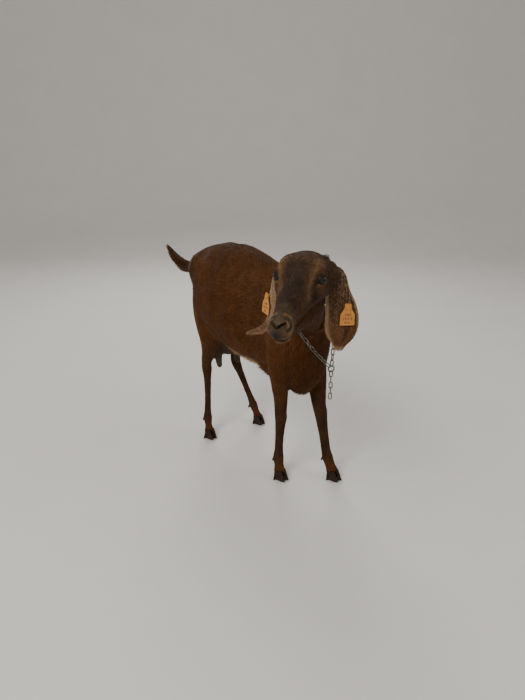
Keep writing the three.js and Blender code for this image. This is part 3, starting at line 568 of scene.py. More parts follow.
def new_object(
    name: str,
    vertices: Array,
    faces: Array,
    finishes: Sequence[bpy.types.Material] = (),
    shade: bool = True,
) -> bpy.types.Object:
    """A mesh object with its faces smooth or flat.

    Args:
        name: the piece's name.
        vertices: (n, 3) in metres.
        faces: (m, 3) or (m, 4) vertex numbers.
        finishes: its materials.
        shade: whether faces are shaded smooth.
    """
    mesh = bpy.data.meshes.new(name)
    faces = np.asarray(faces)
    corners = faces.shape[1]
    mesh.vertices.add(len(vertices))
    mesh.vertices.foreach_set("co", np.asarray(vertices, np.float32).ravel())
    mesh.loops.add(faces.size)
    mesh.loops.foreach_set("vertex_index", faces.astype(np.int32).ravel())
    mesh.polygons.add(len(faces))
    mesh.polygons.foreach_set("loop_start", np.arange(0, faces.size, corners, dtype=np.int32))
    mesh.polygons.foreach_set("use_smooth", np.full(len(faces), shade))
    mesh.update(calc_edges=True)
    mesh.validate()
    for finish in finishes:
        mesh.materials.append(finish)
    piece = bpy.data.objects.new(name, mesh)
    bpy.context.scene.collection.objects.link(piece)
    return piece


def rows_of(items: bpy.types.bpy_prop_collection, name: str, width: int, kind: type = np.float32) -> Array:
    """A property of every item of a mesh's collection, as rows of the given width."""
    values = np.empty(len(items) * width, kind)
    items.foreach_get(name, values)
    return values.reshape(-1, width)


def set_colours(mesh: bpy.types.Mesh, colours: Array) -> None:
    """Writes one linear colour per vertex to the colour attribute."""
    attribute = mesh.color_attributes.new(COLOUR, "FLOAT_COLOR", "POINT")
    attribute.data.foreach_set("color", np.c_[colours, np.ones(len(colours))].astype(np.float32).ravel())


def set_uvs(mesh: bpy.types.Mesh, uvs: Array, name: str = BAKE_MAP) -> None:
    """Writes one UV per face corner to the named map."""
    layer = mesh.uv_layers.new(name=name)
    layer.data.foreach_set("uv", uvs.astype(np.float32).ravel())


@dataclass
class Surface:
    """The skin's vertices with what the hair needs to know of each.

    `ear` has its place along and across the ear, whether it is on the outer layer, and the ear's number,
    which is -1 off the ears.
    """

    points: Array
    normals: Array
    triangles: Array
    flow: Array
    weights: Array
    part: Array
    uv: Array
    ear: Array

    def share(self, *regions: Region) -> Array:
        """How far each vertex belongs to the regions, from 0 to 1."""
        return sum(self.weights[:, region.value] for region in regions)

    def plus(self, other: Surface) -> Surface:
        """Both surfaces as one."""
        names = [f.name for f in fields(self)]
        both = {name: np.concatenate([getattr(self, name), getattr(other, name)]) for name in names}
        both["triangles"] = np.vstack([self.triangles, other.triangles + len(self.points)])
        return Surface(**both)


class Samples:
    """Points of the unjoined forms, with the lie of the hair, the part and a place on the unwrap."""

    margin = 0.02

    def __init__(self) -> None:
        """Collects every form's grid and sorts it for searches."""
        forms = [self.sampled(loft, number) for number, loft in enumerate(FLESH)]
        self.points, self.flows, self.uvs, self.regions, self.parts = map(np.concatenate, zip(*forms))
        self.tree = KDTree(len(self.points))
        for i, p in enumerate(self.points.tolist()):
            self.tree.insert(p, i)
        self.tree.balance()

    def sampled(self, loft: Loft, number: int) -> tuple[Array, ...]:
        """Every second vertex of every second ring of a loft.

        Args:
            loft: the form.
            number: its place in FLESH.

        Returns:
            points, flows, UVs, regions and parts.
        """
        rings, tangent, t, angle = loft.rings()
        grid = rings[::2, ::2]
        rows, columns = grid.shape[:2]
        flow = np.repeat(tangent[::2, None], columns, 1) * loft.flow_sign
        u0, v0, du, dv = loft.cell
        inner = 1 - 2 * self.margin
        u = u0 + du * (self.margin + inner * np.tile(angle[::2] / (2 * np.pi), (rows, 1)))
        v = v0 + dv * (self.margin + inner * np.repeat(t[::2, None], columns, 1))
        return (grid.reshape(-1, 3), flow.reshape(-1, 3), np.stack([u, v], -1).reshape(-1, 2),
                np.full(rows * columns, loft.region.value), np.full(rows * columns, number))

    def nearest(self, points: Array) -> Array:
        """The number of the nearest sample of each point."""
        find = self.tree.find
        return np.array([find(p)[1] for p in points.tolist()])


class Smoother:
    """Averages values over a mesh's edges."""

    def __init__(self, edges: Array, count: int) -> None:
        """Keeps each edge both ways and how many neighbours a vertex has."""
        self.a = np.r_[edges[:, 0], edges[:, 1]]
        self.b = np.r_[edges[:, 1], edges[:, 0]]
        self.count = count
        self.degree = np.maximum(np.bincount(self.a, minlength=count), 1)[:, None]

    def mean(self, values: Array) -> Array:
        """The mean of each vertex's neighbours."""
        total = [np.bincount(self.a, values[self.b, k], self.count) for k in range(values.shape[1])]
        return np.stack(total, -1) / self.degree

    def relax(self, values: Array, rounds: int, share: Array | float = 0.5) -> Array:
        """Values moved towards their neighbours' mean, round by round."""
        for _ in range(rounds):
            values = values + share * (self.mean(values) - values)
        return values

    def fair(self, values: Array, rounds: int) -> Array:
        """Smoothing that keeps the size: a step in and a slightly larger step out each round."""
        for _ in range(rounds):
            values = values + 0.5 * (self.mean(values) - values)
            values = values - 0.52 * (self.mean(values) - values)
        return values


@dataclass
class Zoom:
    """A stretch of space round the head, so that even voxels are finer there."""

    centre: Array
    reach: float = 175
    factor: float = 2.3

    def magnify(self, p: Array) -> Array:
        """Distances from the centre times the factor within the reach, and shifted beyond it."""
        d = p - self.centre
        r = np.linalg.norm(d, axis=1, keepdims=True)
        far = np.where(r < self.reach, r * self.factor, r + self.reach * (self.factor - 1))
        return self.centre + d / np.maximum(r, 1e-9) * far

    def restore(self, p: Array) -> Array:
        """The inverse of magnify."""
        d = p - self.centre
        r = np.linalg.norm(d, axis=1, keepdims=True)
        near = np.where(r < self.reach * self.factor, r / self.factor, r - self.reach * (self.factor - 1))
        return self.centre + d / np.maximum(r, 1e-9) * near


@dataclass
class EyeForm:
    """An eye's frame and the almond between its lids, in the head's frame."""

    side: int
    length: float = 12.5
    upper: float = 7.6
    lower: float = 6.4

    @property
    def centre(self) -> Array:
        """The eyeball's centre."""
        return EYE * [self.side, 1, 1]

    @property
    def axes(self) -> tuple[Array, Array, Array]:
        """Directions towards the nose, up and out of the eye."""
        out = unit(np.array([0.7 * self.side, -0.68, 0.2]))
        across = np.array([0, -1, 0.05])
        across = unit(across - across @ out * out)
        above = np.cross(out, across)
        return across, above if above[2] > 0 else -above, out

    def measure(self, p: Array) -> tuple[Array, Array, Array, Array]:
        """How far points lie along and above the middle of the opening, on the ball.

        Returns:
            u and v in mm on the ball, the distance from its centre, and how far inside the lids' line a
            point is, negative outside.
        """
        d = p - self.centre
        across, above, out = self.axes
        ahead = d @ out
        r = np.linalg.norm(d, axis=-1)
        u = EYE_RADIUS * np.arctan2(d @ across, ahead)
        v = EYE_RADIUS * np.arctan2(d @ above, ahead)
        arch = np.clip(1 - (u / self.length) ** 2, 0, 1) ** 0.8
        inside = np.minimum(self.upper * arch - v, v + self.lower * arch)
        inside = np.where(np.abs(u) < self.length, inside, -np.hypot(np.abs(u) - self.length, v))
        return u, v, r, np.where(ahead > 0, inside, -40.0)

    def carve(self, p: Array) -> Array:
        """Skin points drawn to lids round the ball, with the space between the lids sunk behind it."""
        u, v, r, inside = self.measure(p)
        lid = EYE_RADIUS + 0.5 + 1.7 * (1 - np.exp(np.minimum(inside, 0) / 1.3))
        fold = -1.6 * bell(inside, -7.5, 1.3) * smooth(v, 2, 6)
        under = -0.8 * bell(inside, -6, 1.3) * smooth(v, -2, -5)
        share = smooth(inside, -13, -3.5)
        target = r * (1 - share) + lid * share + fold + under
        target = np.where(inside > 0, EYE_RADIUS - 4.5 * smooth(inside, -0.1, 1.2), target)
        near = (inside > -16) & (r < 34)
        d = (p - self.centre) / np.maximum(r, 1e-9)[:, None]
        return np.where(near[:, None], self.centre + d * target[:, None], p)


@dataclass
class NostrilForm:
    """A nostril's frame, in the head's frame: a slit from beside the lip's groove outwards, up and back."""

    side: int
    half_length: float = 14
    depth: float = 6.5
    folds: tuple[tuple[float, float, float], ...] = (
        (10, 3.2, 2.2), (18.5, 2.4, -2.8), (27, 3.8, 2.0), (37, 4, -1.4),
    )

    @property
    def centre(self) -> Array:
        """The slit's middle."""
        return np.array([11.5 * self.side, -253, -5])

    @property
    def axes(self) -> tuple[Array, Array, Array]:
        """Directions along the slit, towards the lip and out of the slit."""
        along = unit(np.array([0.8 * self.side, 0.45, 0.4]))
        out = np.array([0.2 * self.side, -0.8, 0.5])
        out = unit(out - out @ along * along)
        return along, np.cross(along, out) * self.side, out

    def measure(self, p: Array) -> tuple[Array, Array, Array]:
        """Places along the slit, below its bent line and out of it; the outer end hooks upwards."""
        along, below, out = self.axes
        d = p - self.centre
        a, c = d @ along, d @ below
        line = -1.2 - 0.8 * bell(a, 0, 3) - 5.0 * smooth(a, 8, 16)
        return a, c - line, d @ out

    def rings(self, p: Array) -> tuple[Array, Array]:
        """Distances from the slit's outer end, and 1 on its outer side."""
        end = self.centre + self.axes[0] * 11.5
        outer = smooth((p - end) @ unit(np.array([0.75 * self.side, 0.6, -0.15])), -1, 6)
        return np.linalg.norm(p - end, axis=1), outer

    def carve(self, p: Array) -> Array:
        """Skin points sunk into the slit, a rounded wing and folds that curve round its outer end."""
        a, c, o = self.measure(p)
        ends = smooth(np.abs(a), self.half_length, self.half_length - 6)
        slit = -self.depth * bell(c, 0, 1.7) * ends
        rims = 1.7 * bell(np.abs(c), 4.8, 2.2) * smooth(np.abs(a), 16, 8)
        r, outer = self.rings(p)
        folds = sum(height * bell(r, at, width) for at, width, height in self.folds)
        p = p + self.axes[2] * ((slit + rims) * smooth(np.abs(o), 24, 13))[:, None]
        away = unit(p - np.array([0, -222, -20]))
        return p + away * (folds * outer * (1.0 if self.side > 0 else 0.35))[:, None]


@dataclass
class Skin:
    """The animal's skin: every form of the flesh joined, smoothed, sculpted and drawn in by the coat."""

    samples: Samples
    voxel: float = 5.4
    body_swells: tuple[Swell, ...] = (
        Swell((122, 128, 690), (34, 46, 40), -10), Swell((78, 196, 768), (22, 26, 24), 8),
        Swell((62, 345, 728), (20, 22, 26), 7), Swell((118, -215, 585), (30, 52, 70), 7),
        Swell((92, -318, 505), (30, 34, 40), 7), Swell((100, -128, 560), (30, 20, 110), -6),
        Swell((118, 205, 545), (34, 60, 90), 8), Swell((60, 262, 640), (50, 20, 60), 4),
        Swell((0, -330, 540), (9, 60, 90), -3), Swell((0, 120, 800), (14, 240, 30), 2.5),
    )
    face_swells: tuple[Swell, ...] = (
        Swell((14, -250, -29), (9, 12, 8), 2.4), Swell((0, -246, -57), (12, 10, 8), 2.2),
        Swell((0, -238, 2), (7, 12, 9), 2.2), Swell((40, -138, -6), (7, 34, 7), 1.8),
        Swell((50, -108, -2), (12, 14, 10), 2.2), Swell((44, -150, -22), (14, 26, 10), -2.0),
        Swell((17, -216, 8), (8, 12, 9), -1.6), Swell((48, -66, 55), (17, 34, 15), 5.0),
        Swell((52, -28, 44), (12, 18, 14), 4.0), Swell((51, -84, 56), (14, 22, 10), 7.0),
    )
    nostril_spots: tuple[tuple[float, float, float], ...] = ((13, -250, -6), (24, -236, -10))
    lip_spots: tuple[tuple[float, float], ...] = (
        (0, -252), (14, -246), (-14, -246), (20, -224), (-20, -224),
    )

    def __post_init__(self) -> None:
        """Joins the forms, then shapes the result."""
        self.zoom = Zoom(HeadFrame.out_of([0, -118, -10]))
        self.remesh(*joined([loft.mesh() for loft in FLESH] + self.extra_forms()))
        self.sculpt_body()
        for reach in (26, 17):
            self.refine(reach)
        self.sculpt_face()

    @staticmethod
    def ball(centre: Sequence[float], sizes: Sequence[float]) -> tuple[Array, Array]:
        """A ball of three half-sizes in the head's frame: (sin a cos b, sin a sin b, cos a) times them."""
        a, b = np.meshgrid(np.linspace(0.06, np.pi - 0.06, 30), turn_angles(48), indexing="ij")
        rings = np.stack([np.sin(a) * np.cos(b), np.sin(a) * np.sin(b), np.cos(a)], -1)
        return closed_rings(HeadFrame.out_of(rings * sizes + centre))

    def extra_forms(self) -> list[tuple[Array, Array]]:
        """The dome of the forehead, the lids' balls and the roots of the ears."""
        lids = [self.ball(EYE * [s, 1, 1], [EYE_RADIUS + 2.0] * 3) for s in SIDES]
        bases = [self.ball((48 * s, -12, 15), (21, 26, 21)) for s in SIDES]
        return [self.ball((0, -50, 31), (62, 60, 38)), *lids, *bases, *(ear.root_bulb() for ear in EARS)]

    def remesh(self, vertices: Array, faces: Array) -> None:
        """One closed surface from overlapping forms, by even voxels in the stretched space."""
        source = new_object("forms", self.zoom.magnify(vertices) * MM, faces)
        voxels = source.modifiers.new("voxels", "REMESH")
        voxels.mode = "VOXEL"
        voxels.voxel_size = self.voxel * MM
        depsgraph = bpy.context.evaluated_depsgraph_get()
        mesh = bpy.data.meshes.new_from_object(source.evaluated_get(depsgraph))
        bpy.data.objects.remove(source)
        self.read(mesh)
        self.points = self.zoom.restore(self.smoother.fair(self.points / MM, 4))

    def read(self, mesh: bpy.types.Mesh) -> None:
        """Takes a mesh's points and edges."""
        self.mesh = mesh
        self.points = rows_of(mesh.vertices, "co", 3).astype(float)
        self.smoother = Smoother(rows_of(mesh.edges, "vertices", 2, np.int32), len(mesh.vertices))

    def normals(self) -> Array:
        """Vertex normals of the present points, which the mesh takes over."""
        self.mesh.vertices.foreach_set("co", self.points.astype(np.float32).ravel())
        self.mesh.update()
        return rows_of(self.mesh.vertices, "normal", 3).astype(float)

    def sculpt_body(self) -> None:
        """Softens the joins of the forms and adds muscle, bone, ribs and hollows."""
        p = self.points
        on_head = smooth(np.linalg.norm(HeadFrame.into(p) - HEAD_MIDDLE, axis=1), 165, 125)
        low = smooth(p[:, 2], 330, 420)
        share = 0.55 * (1 - on_head) * (0.15 + 0.85 * low)
        self.points = p = self.smoother.relax(p, 26, share[:, None])
        flank = hill(mirrored(p), (120, -40, 570), (40, 90, 110))
        lift = swelling(p, self.body_swells) + 1.1 * np.sin(p[:, 1] / 10.5 + p[:, 2] / 60) * flank
        self.points = self.smoother.fair(p + self.normals() * (lift * (1 - on_head))[:, None], 3)

    def face_detail(self, local: Array) -> Array:
        """Distance from the nearest of the eyes, nostrils and lips."""
        spots = [form.centre + form.axes[2] * EYE_RADIUS for form in map(EyeForm, SIDES)]
        spots += [np.array([s * x, y, z]) for s in SIDES for x, y, z in self.nostril_spots]
        spots += [np.array([x, y, -44.0]) for x, y in self.lip_spots]
        return np.min([np.linalg.norm(local - s, axis=1) for s in spots], axis=0)

    def refine(self, reach: float) -> None:
        """Splits the edges that lie within reach of the face's details."""
        self.normals()
        near = self.face_detail(HeadFrame.into(self.points)) < reach
        bm = bmesh.new()
        bm.from_mesh(self.mesh)
        bm.verts.ensure_lookup_table()
        edges = [e for e in bm.edges if near[e.verts[0].index] and near[e.verts[1].index]]
        bmesh.ops.subdivide_edges(bm, edges=edges, cuts=1, use_grid_fill=True, smooth=0.6)
        bmesh.ops.triangulate(bm, faces=[f for f in bm.faces if len(f.verts) > 4])
        bm.to_mesh(self.mesh)
        bm.free()
        self.read(self.mesh)

    def sculpt_face(self) -> None:
        """Carves lids, nostrils, the line of the mouth, the groove of the lip and the brow's wrinkles."""
        local = HeadFrame.into(self.points)
        on_head = np.linalg.norm(local - HEAD_MIDDLE, axis=1) < 200
        p = local[on_head]
        for side in SIDES:
            p = EyeForm(side).carve(NostrilForm(side).carve(p))
        x, y, z = p.T
        mouth = -3.6 * bell(z, lip_line(y), 1.3)
        lips = 2.0 * bell(np.abs(z - lip_line(y)), 5, 3) * smooth(y, -200, -235)
        groove = -2.8 * bell(x, 0, 1.6) * smooth(y, -246, -254) * smooth(z, -42, -38) * smooth(z, -4, -10)
        whorl = np.linalg.norm(p - WHORL, axis=1)
        wrinkles = 0.8 * np.cos(whorl / 2.4) * smooth(whorl, 26, 8)
        brow = 0.9 * np.cos((y + 0.6 * z) / 2.8) * hill(mirrored(p), (50, -78, 52), (12, 20, 9))
        lift = (mouth + lips) * smooth(y, -194, -208) + groove + wrinkles + brow
        lift = lift + swelling(p, self.face_swells)
        local[on_head] = p + face_outward(p) * lift[:, None]
        self.points = HeadFrame.out_of(local)

    def surface(self) -> Surface:
        """The skin with its hair's lie, parts and place on the unwrap, the ears joined to it."""
        nearest = self.samples.nearest(self.points)
        weights = self.smoother.relax(np.eye(len(Region))[self.samples.regions[nearest]], 10, 0.6)
        falling = -0.45 * weights[:, :1] * smooth(np.abs(self.points[:, :1]), 30, 90)
        flow = unit(self.smoother.relax(self.samples.flows[nearest] + UP * falling, 12, 0.6))
        normals = self.normals()
        self.mesh.calc_loop_triangles()
        triangles = rows_of(self.mesh.loop_triangles, "vertices", 3, np.int32)
        off_ears = np.tile([0.0, 0.0, 0.0, -1.0], (len(self.points), 1))
        surface = Surface(self.points, normals, triangles, flow, weights,
                          self.samples.parts[nearest], self.samples.uvs[nearest], off_ears)
        for number, ear in enumerate(EARS):
            surface = surface.plus(self.ear_surface(ear, number))
        return surface

    @staticmethod
    def ear_surface(ear: Ear, number: int) -> Surface:
        """An ear's shell as a surface, unwrapped in the last row's first columns.

        Args:
            ear: the ear.
            number: its place in EARS.
        """
        shell = ear.shell()
        points, faces, t, w, outer = (shell[key] for key in ("vertices", "faces", "t", "w", "outer"))
        a, b, c = (points[faces[:, k]] for k in range(3))
        normal = np.zeros_like(points)
        for k in range(3):
            np.add.at(normal, faces[:, k], np.cross(b - a, c - a))
        across = 0.25 + 0.22 * w + 0.5 * (1 - outer)
        uv = np.c_[0.25 * number + 0.25 * across, 0.75 + 0.25 * (0.03 + 0.94 * t)]
        weights = np.zeros((len(points), len(Region)))
        weights[:, Region.EAR.value] = 1
        return Surface(points, unit(normal), faces, shell["along"], weights,
                       np.full(len(points), len(FLESH) + number), uv,
                       np.c_[t, w, outer, np.full(len(points), number)])


Layer = tuple[Array, Array]


class Markings:
    """The animal's colours, as linear red, green and blue, over points of its surface."""

    chestnut = np.array([0.098, 0.036, 0.0098])
    russet = np.array([0.130, 0.043, 0.0095])
    dusky = np.array([0.057, 0.028, 0.0125])
    black = np.array([0.014, 0.009, 0.006])
    tan = np.array([0.19, 0.100, 0.047])
    cream = np.array([0.36, 0.235, 0.130])
    grey = np.array([0.066, 0.043, 0.025])
    pad = np.array([0.022, 0.017, 0.014])
    bag = np.array([0.050, 0.034, 0.021])
    ear_tip = np.array([0.15, 0.066, 0.026])

    @staticmethod
    def layered(base: Array, layers: Sequence[Layer]) -> Array:
        """Colours under thin layers.

        Args:
            base: the lowest colour.
            layers: (colour, share) pairs from the lowest up; each moves what lies below it towards its
                colour by a share from 0 to 1.

        Returns:
            a colour for each point.
        """
        for colour, share in layers:
            share = np.clip(share, 0, 1)[:, None]
            base = base * (1 - share) + colour * share
        return base

    def body(self, surface: Surface) -> Array:
        """Colours of the trunk, neck, legs and tail."""
        p, share = surface.points, surface.share
        x, y, z = p.T
        trunk, neck, leg = share(Region.TRUNK), share(Region.NECK), share(Region.FORELEG, Region.HINDLEG)
        knee = smooth(z, 330, 290) * smooth(z, 60, 120) * smooth(ripple(p, 26, 4.1), -0.8, 0.3)
        return self.layered(self.chestnut, [
            (self.russet, 0.6 * smooth(ripple(p, 60, 1.3), -0.2, 0.8)),
            (self.dusky * 1.25, 0.55 * smooth(z, 690, 790) * (trunk + neck)),
            (self.dusky, 0.6 * bell(x, 0, 22) * smooth(z, 690, 740) * trunk),
            # the belly's lower edge: its own pale hair, brightened further as a painted highlight of light
            # from behind
            (self.cream * 1.1, 0.85 * smooth(z, 426, 400) * smooth(y, -160, -110) * trunk),
            # the neck darkened as painted shade; the tail's duskier hair is its own
            (self.dusky, 0.45 * neck + 0.7 * share(Region.TAIL)),
            # dark patches on the legs, partly their own colour and darker still on their inner sides as
            # painted shade between the legs
            (self.black, leg * knee * (0.25 + 0.65 * smooth(np.abs(x), 84, 58))),
            # the legs darker downwards, partly their own colour and partly painted shade
            (self.dusky * 0.85, 0.65 * leg * smooth(z, 420, 180)),
            (self.russet * 0.85, 0.6 * leg * smooth(z, 110, 60)),
            (self.dusky * 0.5, 0.7 * leg * smooth(z, 42, 30)),
            (self.bag, share(Region.UDDER) * 0.75 + share(Region.TEAT)),
        ])

    def crown(self, local: Array, wobble: Array) -> list[Layer]:
        """Layers of the cheeks, bridge, stripes, brow and whorl, over points of the head's frame."""
        x, y, z = local.T
        both = mirrored(local)
        off = np.abs(x - np.interp(y, [-210, -150, -120, -85], [4, 4, -2, -10])) + wobble
        bridge = smooth(off, 31, 17) * smooth(y + 1.6 * wobble, -72, -116) * smooth(z, -10, 14)
        left = np.interp(y, [-170, -127, -95, -80, -60], [37, 40, 38, 40, 46])
        right = np.interp(y, [-160, -134, -112, -88], [-28, -33, -41, -52])
        stripes = np.maximum(bell(x - left + wobble, 0, 4.2), bell(x - right + wobble, 0, 8))
        stripes = stripes * smooth(y, -176, -150) * smooth(y, -48, -66) * smooth(z, -4, 8)
        brow = hill(both, (45, -74, 52), (16, 21, 13)) * (0.8 + 0.4 * ripple(local, 7, 5.1))
        mark = hill(both, (46, -128, -1), (8, 12, 15)) + hill(both, (50, -113, 22), (7, 9, 8))
        whorl = np.linalg.norm(local - WHORL, axis=1)
        folds = smooth(np.cos(whorl / 2.6 + 0.5 * wobble), 0.1, 1) * smooth(whorl, 42, 12)
        return [
            (self.chestnut * 0.72, 0.75 * smooth(z, -8, -34)),
            (self.dusky * 1.35, 0.8 * smooth(y, -88, -60) * smooth(z, 40, 54)),
            (self.black * 2.2, 0.85 * bridge),
            (self.chestnut * 0.75, 0.5 * smooth(ripple(local, 19, 7.4), 0.1, 0.7) * bridge),
            (self.tan * 0.75, 0.85 * stripes),
            (self.tan * 1.05, 0.9 * np.clip(brow, 0, 1)),
            (self.tan * 0.6, 0.5 * hill(both, (57, -104, 8), (9, 12, 7))),
            (self.black * 1.5, 0.9 * np.minimum(mark, 1)),
            (self.chestnut * 0.85, 0.6 * hill(both, (34, -104, -58), (26, 50, 26))),
            (self.black * 2, 0.6 * folds),
            (self.black * 2.2, 0.6 * hill(local, (-22, -84, 62), (12, 13, 12))),
        ]

    def muzzle(self, local: Array, wobble: Array) -> list[Layer]:
        """Layers of painted shade on the jaw's side below the mouth, and of the muzzle, lips, chin and nose
        pad, over points of the head's frame.
        """
        _, y, z = local.T
        jaw = smooth(z, -40, -50) * smooth(y, -186, -200) * smooth(y, -240, -228)
        return [
            # the jaw's side below the line of the mouth, darkened as painted shade
            (self.black * 1.5, 0.75 * jaw),
            (self.grey, 0.85 * smooth(y + 1.5 * wobble, -190, -212) * smooth(z, -50, -42)),
            (self.grey * 1.25, 0.6 * hill(local, (0, -240, 2), (8, 14, 9))),
            (self.black * 2.5, 0.8 * hill(local, (-2, -213, 14), (13, 9, 12))),
            (self.tan * 0.8, 0.6 * hill(mirrored(local), (22, -244, -28), (12, 14, 9))),
            (self.cream * 0.5, 0.75 * smooth(y, -214, -232) * bell(z, -40.5, 2.6)),
            (self.tan, 0.7 * smooth(y, -214, -234) * smooth(z, -46, -50)),
            (self.tan, 0.6 * hill(local, (-22, -240, -34), (5, 14, 10))),
            (self.pad, 0.95 * np.minimum(1, 1.6 * hill(local, *NOSE_PAD))),
            # a dark line along the seam of the lips: painted shade in the seam
            (self.black, 0.9 * smooth(y, -196, -210) * bell(z, lip_line(y), 1.7)),
        ]

    def lids(self, local: Array, side: int) -> list[Layer]:
        """Layers of the dark lids' rims, the pale line below the eye and the dark lid above it."""
        _, y, z = local.T
        _, _, r, inside = EyeForm(side).measure(local)
        near = r < 30
        level, tilted = z - EYE[2], z - EYE[2] + 0.35 * (y - EYE[1])
        return [
            (self.black, near * 0.95 * smooth(inside, -4.6, -1.8)),
            (self.tan, near * 0.7 * bell(inside, -7, 1.8) * smooth(level, 2, -4)),
            (self.black * 1.6, near * 0.75 * smooth(inside, -14, -6) * smooth(tilted, -7, 4)),
        ]

    def nostril(self, local: Array, side: int) -> list[Layer]:
        """Layers of a nostril: painted shade in its slit and in the groove between the folds behind it, and
        painted highlights on the folds' ridges.
        """
        y = local[:, 1]
        form = NostrilForm(side)
        a, c, _ = form.measure(local)
        slit = smooth(np.abs(c), 2.9, 1.0) * smooth(np.abs(a), 14, 10) * smooth(y, -228, -238)
        ring, outer = form.rings(local)
        folds = smooth(y, -200, -214) * outer
        return [
            # the slit darkened as painted shade
            (self.black * 0.7, slit * (0.85 if side > 0 else 0.4)),
            # paler ridges and a dark groove where the folds are carved: painted highlights and painted shade
            (self.tan * 1.15, 0.75 * folds * bell(ring, 10, 3.2)),
            (self.black * 1.6, 0.85 * folds * bell(ring, 18.5, 2.4)),
            (self.tan * 1.05, 0.75 * folds * bell(ring, 27, 3.6)),
        ]

    def head(self, local: Array) -> Array:
        """Colours of the head, from its own frame."""
        wobble = 3.5 * ripple(local, 15, 2.2)
        layers = self.crown(local, wobble) + self.muzzle(local, wobble)
        for side in SIDES:
            layers += self.lids(local, side) + self.nostril(local, side)
        return self.layered(self.dusky * 1.05, layers)

    def ear(self, ear: Array) -> Array:
        """Colours of the ears, from their places along, across and on the outer layer."""
        t, w, outer, number = ear.T
        left = number == 0
        front = -w * np.where(left, 1, -1)
        fold_shade = bell(front + 0.25 - 0.6 * (t - 0.8), 0, 0.17) * smooth(t, 0.7, 0.8)
        rim = smooth(front, 0.68, 0.92) + 0.7 * smooth(-front, 0.82, 0.97) + smooth(t, 0.95, 0.99)
        far = smooth(t, 0.66, 0.8)[:, None]
        return self.layered(self.dusky * 1.35, [
            (self.dusky * 0.9, 0.95 * smooth(t, 0.36, 0.2)),
            (self.ear_tip, 0.8 * smooth(t, 0.55, 0.84)),
            # the long fold of the blade darkened as painted shade
            (self.dusky * 0.8, 0.85 * fold_shade * smooth(t, 0.96, 0.88)),
            (self.cream, 0.9 * np.minimum(rim, 1) * smooth(t, 0.26, 0.4)),
            # the right ear paler all over than the left: painted light on that ear
            (self.cream * 0.8 * (1 - far) + self.tan * 0.7 * far, 0.75 * ~left * smooth(t, 0.2, 0.42)),
            (self.tan * 0.9, 0.8 * (1 - outer) * smooth(t, 0.1, 0.3)),
        ])

    def colours(self, surface: Surface) -> Array:
        """Colours of every vertex of the surface."""
        local = HeadFrame.into(surface.points)
        share = smooth(surface.share(Region.SKULL, Region.JAW), 0.15, 0.85)[:, None]
        fleck = np.exp(0.16 * ripple(local, 4.2, 9.1) + 0.14 * ripple(local, 10, 5.3))[:, None]
        colour = self.body(surface) * (1 - share) + self.head(local) * fleck * share
        is_ear = surface.ear[:, 3] >= 0
        colour[is_ear] = self.ear(surface.ear[is_ear])
        return colour


@dataclass(frozen=True)
class Hair:
    """The hair of a region: length, width and rise in mm and degrees, how dense, and the coat's depth."""

    length: float
    width: float
    rise: float
    density: float
    depth: float


HAIR = {
    Region.TRUNK: Hair(13, 1.5, 11, 0.115, 3.0),
    Region.BREAST: Hair(13, 1.4, 13, 0.13, 3.0),
    Region.NECK: Hair(13, 1.3, 13, 0.16, 2.8),
    Region.SKULL: Hair(4.5, 0.75, 14, 0.33, 1.1),
    Region.JAW: Hair(5.5, 0.8, 14, 0.3, 1.3),
    Region.FORELEG: Hair(8, 1.1, 11, 0.2, 1.6),
    Region.HINDLEG: Hair(9, 1.15, 11, 0.19, 1.8),
    Region.TAIL: Hair(26, 1.6, 13, 0.3, 3.0),
    Region.UDDER: Hair(6, 0.9, 12, 0.12, 0.8),
    Region.TEAT: Hair(3, 0.6, 10, 0.0, 0.2),
    Region.EAR: Hair(5.5, 0.75, 10, 0.27, 0.0),
}


LENGTH, WIDTH, RISE, DENSITY = range(4)


